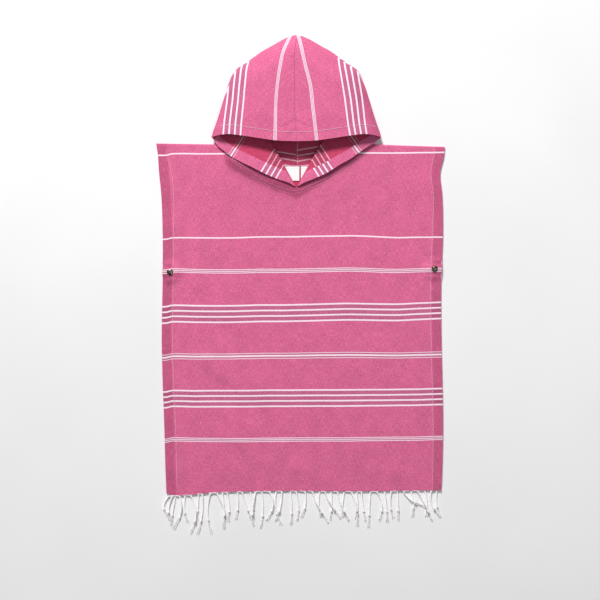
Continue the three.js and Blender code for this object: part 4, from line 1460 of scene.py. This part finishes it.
brim_stitches("left")
brim_stitches("right")
back_across = 1.9 + 0.5 * np.sin(BACK_SEAM_UP)
back_line = np.stack([back_across, BACK_SEAM_UP, np.full(len(BACK_SEAM_UP), BACK_TOP + 0.15)], -1)
stitch_row("back_seam", back_line, pale_thread, pitch=2.0, long=1.9, radius=0.45)
label_up = -35.2 + 0.0007 * LABEL_SEAM_ACROSS**2
label_line = np.stack([LABEL_SEAM_ACROSS, label_up, np.full(len(label_up), LABEL_SEAM_HIGH)], -1)
stitch_row("tape_seam", label_line, pale_thread, pitch=1.9, long=1.7, radius=0.6)
low_line = label_line - np.array([0, 3.6, 0])
stitch_row("tape_low_seam", low_line, white_thread, pitch=3.0, long=2.0, radius=0.3)

# %% [markdown]
# A press stud is a turned and pressed metal part, so each half is a profile spun round its axis: a
# domed cap with a rolled rim on the front, and a flat ring with a ball on the back, as large as the
# solids that they stand for.


# %% Press studs
STUD_SHARP_FROM = np.radians(40)
NEAR_AXIS = 0.02
CAP_DOME_HIGH = 2.1
SHANK_RADIUS = 1.6
DISC_RADIUS = 4.1
DISC_THICK = 1.3


def spun(name, profile, across, up, sides=48):
    """Points = (radius cos a, radius sin a, height) for every profile point and angle."""
    radius, high = np.array(profile, float).T
    turn = 2 * np.pi * np.arange(sides) / sides
    x = across + radius[:, None] * np.cos(turn)
    y = up + radius[:, None] * np.sin(turn)
    points = np.stack([x, y, np.broadcast_to(high[:, None], x.shape)], -1).reshape(-1, 3)
    made = put_mesh(name, points, grid_faces(len(profile), sides, closed=True))
    made.data.set_sharp_from_angle(angle=STUD_SHARP_FROM)
    return made


def rounded(radius, low, high, steps=9):
    """A quarter of an ellipse from the rim up to the axis."""
    turn = np.linspace(0, np.pi / 2, steps)
    return [(max(radius * np.cos(t), NEAR_AXIS), low + (high - low) * np.sin(t)) for t in turn]


def cap_profile(radius, bottom, top):
    """From the axis below the front layer, round the disc and the shank, to the rim and the dome."""
    base = top - CAP_DOME_HIGH
    disc_top = bottom + DISC_THICK
    socket = [(NEAR_AXIS, bottom + 1.0), (1.8, bottom + 1.0), (1.8, bottom), (DISC_RADIUS, bottom)]
    shank = [(DISC_RADIUS, disc_top), (SHANK_RADIUS, disc_top), (SHANK_RADIUS, base)]
    rim = [(radius - 0.5, base), (radius, base + 0.35), (radius - 0.1, base + 0.75)]
    return socket + shank + rim + [(radius - 0.6, base + 0.85)] + rounded(radius - 0.7, base + 0.85, top)


def ball_profile(radius, ball_top):
    """The flat ring under the back layer, its shank and disc, and the ball that snaps into the cap."""
    ring = [(NEAR_AXIS, 0.35), (1.1, 0.35), (1.4, 0.0), (radius - 0.3, 0.0), (radius, 0.3)]
    shank = [(radius, 0.7), (radius - 0.25, 0.9), (SHANK_RADIUS, 0.9), (SHANK_RADIUS, 2.7)]
    disc = [(DISC_RADIUS, 2.7), (DISC_RADIUS, 3.5), (1.5, 3.5), (1.5, ball_top - 0.6)]
    return ring + shank + disc + rounded(1.5, ball_top - 0.6, ball_top, 6)


def build_stud(side):
    """Both halves on the axis of the cap's solid, between the heights of their own solids."""
    cap_box_low, cap_box_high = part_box(f"snap_{side}_cap")
    stud_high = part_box(f"snap_{side}_stud")[1]
    across = (cap_box_low.x + cap_box_high.x) * 500 - SHIFT[0]
    up = (cap_box_low.y + cap_box_high.y) * 500 - SHIFT[1]
    radius = (cap_box_high.x - cap_box_low.x) * 500
    profile = cap_profile(radius, cap_box_low.z * 1000, cap_box_high.z * 1000)
    cap = spun(f"stud_cap_{side}", profile, across, up)
    finish_piece(cap, [bronze], "snap_metal", f"snap_{side}_cap")
    ball = spun(f"stud_ball_{side}", ball_profile(radius, stud_high.z * 1000), across, up)
    finish_piece(ball, [bronze], "snap_metal", f"snap_{side}_stud")


for snap in SNAPS:
    build_stud(snap["side"])

# %% [markdown]
# The two labels are short lengths of white tape, sewn in with the back neck seam, and they lie on
# the inside of the back, bare. A label is never quite flat: it bows a little between its seam and its
# cut end. Both lie 6 mm further right than their solids, which keep to one side of the centre seam.


# %% Labels
LABEL_SHIFT = 6.0
LABEL_THICK = 0.4
LABEL_ABOVE = 0.3
FREE_END_LIFT = 0.25


def build_label(name, node, bow):
    """A bent strip: height = bow * sin(0.8 pi v) down its length, and a lift of its free end."""
    low, high = (np.array(corner) * 1000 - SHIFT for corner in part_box(node))
    x, y = np.meshgrid(np.linspace(low[0], high[0], 22), np.linspace(high[1], low[1], 16))
    x = x + LABEL_SHIFT
    v = (high[1] - y) / (high[1] - low[1])
    w = (x - LABEL_SHIFT - low[0]) / (high[0] - low[0])
    z = low[2] + LABEL_ABOVE + bow * np.sin(np.pi * v * 0.8) + FREE_END_LIFT * v * np.sin(np.pi * w)
    made = cloth_wall(name, np.stack([x, y, z], -1), np.stack([x, -y], -1), thick=LABEL_THICK)
    return finish_piece(made, [tape, tape], "label_tape", node)


neck_tape = build_label("neck_tape", "neck_label", 0.5)
size_tape = build_label("size_tape", "size_label", 0.35)

# %% [markdown]
# The fringe is the towel's own warp: below the last weft the ends are gathered, twisted and
# knotted. A tassel is three twisted plies that run along a path, a knot that winds round them, and a
# tuft of loose ends below it. The paths start at the same places and follow the same bows as the
# solids, and the plies are helices round them, all computed as whole arrays.

# %% Tassel tables
FRONT_TASSELS = table(
    "root bow lean long",
    (-208.5, -8, -2, 34),
    (-203.5, -4, -4, 42),
    (-192, 7, -11, 56),
    (-173.7, 10, -2, 66),
    (-154.3, 3, -9, 69),
    (-141.2, -5, 3, 69),
    (-130.7, 9, 10, 56),
    (-113.3, 3, 1, 50),
    (-88.7, 2, 15, 48),
    (-66.9, -3, -4, 58),
    (-44.1, 8, -6, 50),
    (-24.1, 2, -11, 51),
    (-0.5, 3, 2, 50),
    (14, 3, -6, 44),
    (26.4, 1, 27, 53),
    (47.2, 1, 27, 46),
    (67.4, 1, 19, 50),
    (90, 5, 8, 48),
    (106.8, 0, 7, 51),
    (132, 7, 3, 50),
    (155.6, -3, 4, 46),
    (176, -3, 40, 28),
    (199, 5, 24, 52),
    (221.2, -5, 17, 46),
)
BACK_TASSELS = table(
    "root bow lean long",
    (-198, -2, -7, 50),
    (-182, -3, 4, 46),
    (-160.5, 0, -3, 44),
    (-121.5, 2, 3, 62),
    (-96.5, 2, -3, 46),
    (-76, 4, 4, 44),
    (-57, 3, -2, 62),
    (-33, -4, 9, 58),
    (-10, 2, 1, 57),
    (38, -2, 2, 44),
    (57, 1, -1, 50),
    (78.5, -2, -2, 44),
    (99, 1, 1, 58),
    (121.5, -1, -3, 60),
    (145, 1, 4, 52),
    (165.5, 1, 1, 50),
    (188, 3, 2, 44),
    (211, 2, 2, 44),
    (230, -2, 5, 42),
)
KNOT_SHARE = 0.66
PLY_RADIUS = 0.62
TWIST_RADIUS = 0.62
TWIST_PITCH = 7.0
KNOT_RADIUS = 0.62
KNOT_LONG = 4.0
KNOT_TURNS = 2.4
LEAD_RADIUS = 0.75
THREAD_RADIUS = 0.24
THREADS = 11
PATH_STEPS = 60
KNOT_STEP = int(PATH_STEPS * KNOT_SHARE)


# %% Yarn along a path
def run_and_side(lines):
    """Unit vectors along lines of points, and level ones across them."""
    along = np.gradient(lines, axis=1)
    along /= np.maximum(np.linalg.norm(along, axis=2, keepdims=True), 1e-9)
    return along, np.cross(along, UP)


def tubes(centres, radius, sides=6):
    """Rings round many lines at once: centre + (aside cos a + lift sin a) * radius."""
    lines, steps = centres.shape[:2]
    along, aside = run_and_side(centres)
    aside /= np.maximum(np.linalg.norm(aside, axis=2, keepdims=True), 1e-9)
    lift = np.cross(aside, along)
    turn = (2 * np.pi * np.arange(sides) / sides)[None, None, :, None]
    ring = aside[:, :, None] * np.cos(turn) + lift[:, :, None] * np.sin(turn)
    points = centres[:, :, None] + ring * radius
    one = grid_faces(steps, sides, closed=True)
    faces = (one[None] + (np.arange(lines) * steps * sides)[:, None, None]).reshape(-1, 4)
    return points.reshape(-1, 3), faces


def tassel_paths(tassels, root_high):
    """Path = root + bow * sin(pi t) + lean * t^1.5 across and hem - length * t down, and it settles
    to the ground."""
    root, bow, lean, long = (column(tassels, name)[:, None] for name in ("root", "bow", "lean", "long"))
    t = np.linspace(0, 1, PATH_STEPS + 1)[None, :]
    hem = -read_curve(HEM_LINE, "across", "down", root) - 0.2
    across = root + bow * np.sin(np.pi * t) + lean * t**1.5
    high = blend(root_high, 1.5, ease(t, 0.05, 0.3)) + 0 * across
    return np.stack([across, hem - long * t, high], -1), long


def cross_over(paths, others):
    """A front path rises smoothly where one of the back's lies under it."""
    across, up = paths[..., 0], paths[..., 1]
    rise = np.zeros(across.shape)
    for other in others:
        away = np.hypot(across[..., None] - other[:, 0], up[..., None] - other[:, 1]).min(-1)
        rise = np.maximum(rise, 2.9 * (1 - ease(away, 2.0, 9.0)))
    lifted = paths.copy()
    lifted[..., 2] += rise * ease(np.linspace(0, 1, paths.shape[1]), 0.03, 0.15)
    return lifted


# %% Plies, knots and tufts
def hem_leads(paths, tassels):
    """The bundle lies along the hem before it turns down: a quadratic curve from beside its root."""
    side = np.where(column(tassels, "bow") < 0, 1.0, -1.0)[:, None]
    reach = 7.0 + np.abs(column(tassels, "bow"))[:, None] * 0.5
    t = np.linspace(0, 1, 14)[None, :, None]
    bend = paths[:, :1] + np.array([0.0, 0.6, 0.0])
    start = paths[:, :1] + np.stack([side * reach, np.full(side.shape, 1.0), np.zeros(side.shape)], -1)
    start[..., 1] = -read_curve(HEM_LINE, "across", "down", start[..., 0]) - 0.3
    return start * (1 - t) ** 2 + bend * 2 * t * (1 - t) + paths[:, 4:5] * t**2


def ply_lines(paths, long):
    """Three helices round each path down to the knot: path + r (aside cos a + lift sin a)."""
    steps = KNOT_STEP + 1
    part = paths[:, :steps]
    t = np.linspace(0, KNOT_SHARE, steps)[None, :, None]
    phase = (2 * np.pi * np.arange(3) / 3)[None, None, :]
    angle = 2 * np.pi * long[:, :, None] * t / TWIST_PITCH + phase
    along, aside = run_and_side(part)
    lift = np.cross(aside, along)
    spread = TWIST_RADIUS * (1 + 1.8 * np.exp(-t * 22))
    lines = (
        part[:, :, None]
        + aside[:, :, None] * (np.cos(angle) * spread)[..., None]
        + lift[:, :, None] * (np.sin(angle) * np.minimum(spread, TWIST_RADIUS))[..., None]
    )
    return lines.transpose(0, 2, 1, 3).reshape(-1, steps, 3)


def knot_lines(paths, rng):
    """Two and a half turns of a wide helix round the path at the knot, pulled in at both ends."""
    along = paths[:, KNOT_STEP + 1] - paths[:, KNOT_STEP - 1]
    along /= np.linalg.norm(along, axis=1, keepdims=True)
    aside = np.cross(along, UP)
    lift = np.cross(aside, along)
    s = np.linspace(0, 1, 34)[None, :, None]
    angle = 2 * np.pi * (KNOT_TURNS * s + rng.random((len(paths), 1, 1)))
    wide = 1.35 * np.sin(np.pi * (0.12 + 0.76 * s)) + 0.15
    lines = (
        paths[:, KNOT_STEP][:, None]
        + along[:, None] * (s - 0.5) * KNOT_LONG
        + (aside[:, None] * np.cos(angle) + lift[:, None] * np.sin(angle)) * wide
    )
    lines[..., 2] = np.maximum(lines[..., 2], 0.85)
    return lines


def tuft_lines(paths, rng):
    """Loose ends that leave the knot, fan out by a random share and sink to the ground."""
    count = len(paths)
    part = paths[:, KNOT_STEP:]
    steps = part.shape[1]
    aside = run_and_side(part)[1]
    fan = rng.uniform(-1, 1, (count, THREADS, 1, 1))
    curl = rng.uniform(-1, 1, (count, THREADS, 1, 1))
    short = rng.uniform(0.78, 1.0, (count, THREADS, 1, 1))
    where = np.clip(np.linspace(0, 1, steps)[None, None, :, None] * short, 0, 1)
    index = where[..., 0] * (steps - 1)
    low = np.floor(index).astype(int)
    high = np.minimum(low + 1, steps - 1)
    share = (index - low)[..., None]
    rows = np.arange(count)[:, None, None]
    spine = part[rows, low] * (1 - share) + part[rows, high] * share
    wide = 0.5 + 2.3 * where**0.8
    lines = spine + aside[rows, low] * (fan * wide + 0.7 * curl * np.sin(3.0 * where * np.pi) * where)
    layer = rng.uniform(0.35, 2.2, (count, THREADS, 1))
    along_tuft = where[..., 0]
    lowered = layer * (1 - 0.6 * along_tuft) + 0.25
    lines[..., 2] = blend(lines[..., 2], lowered, ease(along_tuft, 0, 0.4))
    return lines.reshape(-1, steps, 3)


# %% Make the fringes
def build_fringe(name, tassels, root_high, under, seed, node):
    """One mesh of all the tassels of a hem, and their paths, which the front ones rise over."""
    rng = np.random.default_rng(seed)
    paths, long = tassel_paths(tassels, root_high)
    paths = cross_over(paths, under)
    parts = [
        tubes(hem_leads(paths, tassels), LEAD_RADIUS),
        tubes(ply_lines(paths, long), PLY_RADIUS),
        tubes(knot_lines(paths, rng), KNOT_RADIUS),
        tubes(tuft_lines(paths, rng), THREAD_RADIUS, sides=4),
    ]
    points = np.concatenate([part[0] for part in parts])
    starts = np.cumsum([0] + [len(part[0]) for part in parts[:-1]])
    faces = np.concatenate([part[1] + start for part, start in zip(parts, starts)])
    made = put_mesh(name, points, faces)
    return finish_piece(made, [fringe_yarn], "fringe_yarn", node), paths


BACK_ROOT_HIGH = GROUND_LAYER + 0.5
FRONT_ROOT_HIGH = GROUND_LAYER + LAYER_PITCH
fringe_back_yarn, back_paths = build_fringe(
    "fringe_back_yarn", BACK_TASSELS, BACK_ROOT_HIGH, [], 7, "fringe_back"
)
fringe_front_yarn, _ = build_fringe(
    "fringe_front_yarn", FRONT_TASSELS, FRONT_ROOT_HIGH, back_paths, 11, "fringe_front"
)

# %% [markdown]
# Cloth keeps the size that it was cut to, however it is folded: the body is one length of both
# layers, and each half of the hood one piece of the pattern.


# %% [markdown]
# The picture is taken from straight above, in soft daylight that comes mostly from the top left. A
# big area light there gives the soft shadows under the brim and the lapels, a weaker one fills from
# the right, and the pale floor sends some light back up.


# %% Floor, light and camera
FLOOR_REACH = 2500.0
FLOOR_BELOW = -0.4


def pale_floor(tree, shader):
    """Two pale greys in wide soft patches."""
    tone = ramp_value(tree, noise(tree, object_place(tree), 3.0, 2.0), 0.3, 0.7)
    return mix_colours(tree, tone, (0.88, 0.88, 0.89, 1), (0.92, 0.92, 0.925, 1))


def build_floor():
    """One square, just below the cloth."""
    corners = np.array([[-1, -1], [1, -1], [1, 1], [-1, 1]]) * FLOOR_REACH
    points = np.column_stack([corners, np.full(4, FLOOR_BELOW)])
    floor = put_mesh("floor", points, np.array([[0, 1, 2, 3]]), smooth=False)
    floor.data.materials.append(new_material("Pale floor", pale_floor, Roughness=0.7))


def aimed(thing, place, target):
    """Put a light at a place, looking at a target, both in millimetres in the tailor's frame."""
    start = Vector((np.array(place, float) + SHIFT) / 1000)
    end = Vector((np.array(target, float) + SHIFT) / 1000)
    thing.location = start
    thing.rotation_euler = (end - start).to_track_quat("-Z", "Y").to_euler()


def area_light(name, place, target, size, watts, colour):
    """A round area light that looks at the target."""
    data = bpy.data.lights.new(name, "AREA")
    data.shape = "DISK"
    data.size = size
    data.energy = watts
    data.color = colour
    made = bpy.data.objects.new(name, data)
    bpy.context.scene.collection.objects.link(made)
    aimed(made, place, target)


CENTRE = (5.9, -255.0, 0.0)
build_floor()
area_light("key light", (-900, 3100, 2600), CENTRE, 1.1, 224.0, (1.0, 0.985, 0.97))
area_light("fill light", (700, -500, 2600), CENTRE, 1.6, 8.0, (0.97, 0.98, 1.0))
world = bpy.data.worlds.new("Soft sky")
world.use_nodes = True
sky = world.node_tree.nodes["Background"]
sky.inputs["Color"].default_value = (0.95, 0.965, 1.0, 1)
sky.inputs["Strength"].default_value = 0.21
bpy.context.scene.world = world

# %% Camera over the photograph's middle
PICTURE_WIDE = 984.0
LENS = 70.0
SENSOR = 36.0
camera_data = bpy.data.cameras.new("camera")
camera_data.lens = LENS
camera_data.sensor_width = SENSOR
camera_data.clip_start = 0.05
camera = bpy.data.objects.new("camera", camera_data)
bpy.context.scene.collection.objects.link(camera)
camera_high = PICTURE_WIDE * LENS / SENSOR
camera.location = (np.array([CENTRE[0], CENTRE[1], camera_high]) + SHIFT) / 1000
camera.rotation_euler = (0, 0, 0)
bpy.context.scene.camera = camera
bpy.context.scene.view_settings.view_transform = "Standard"
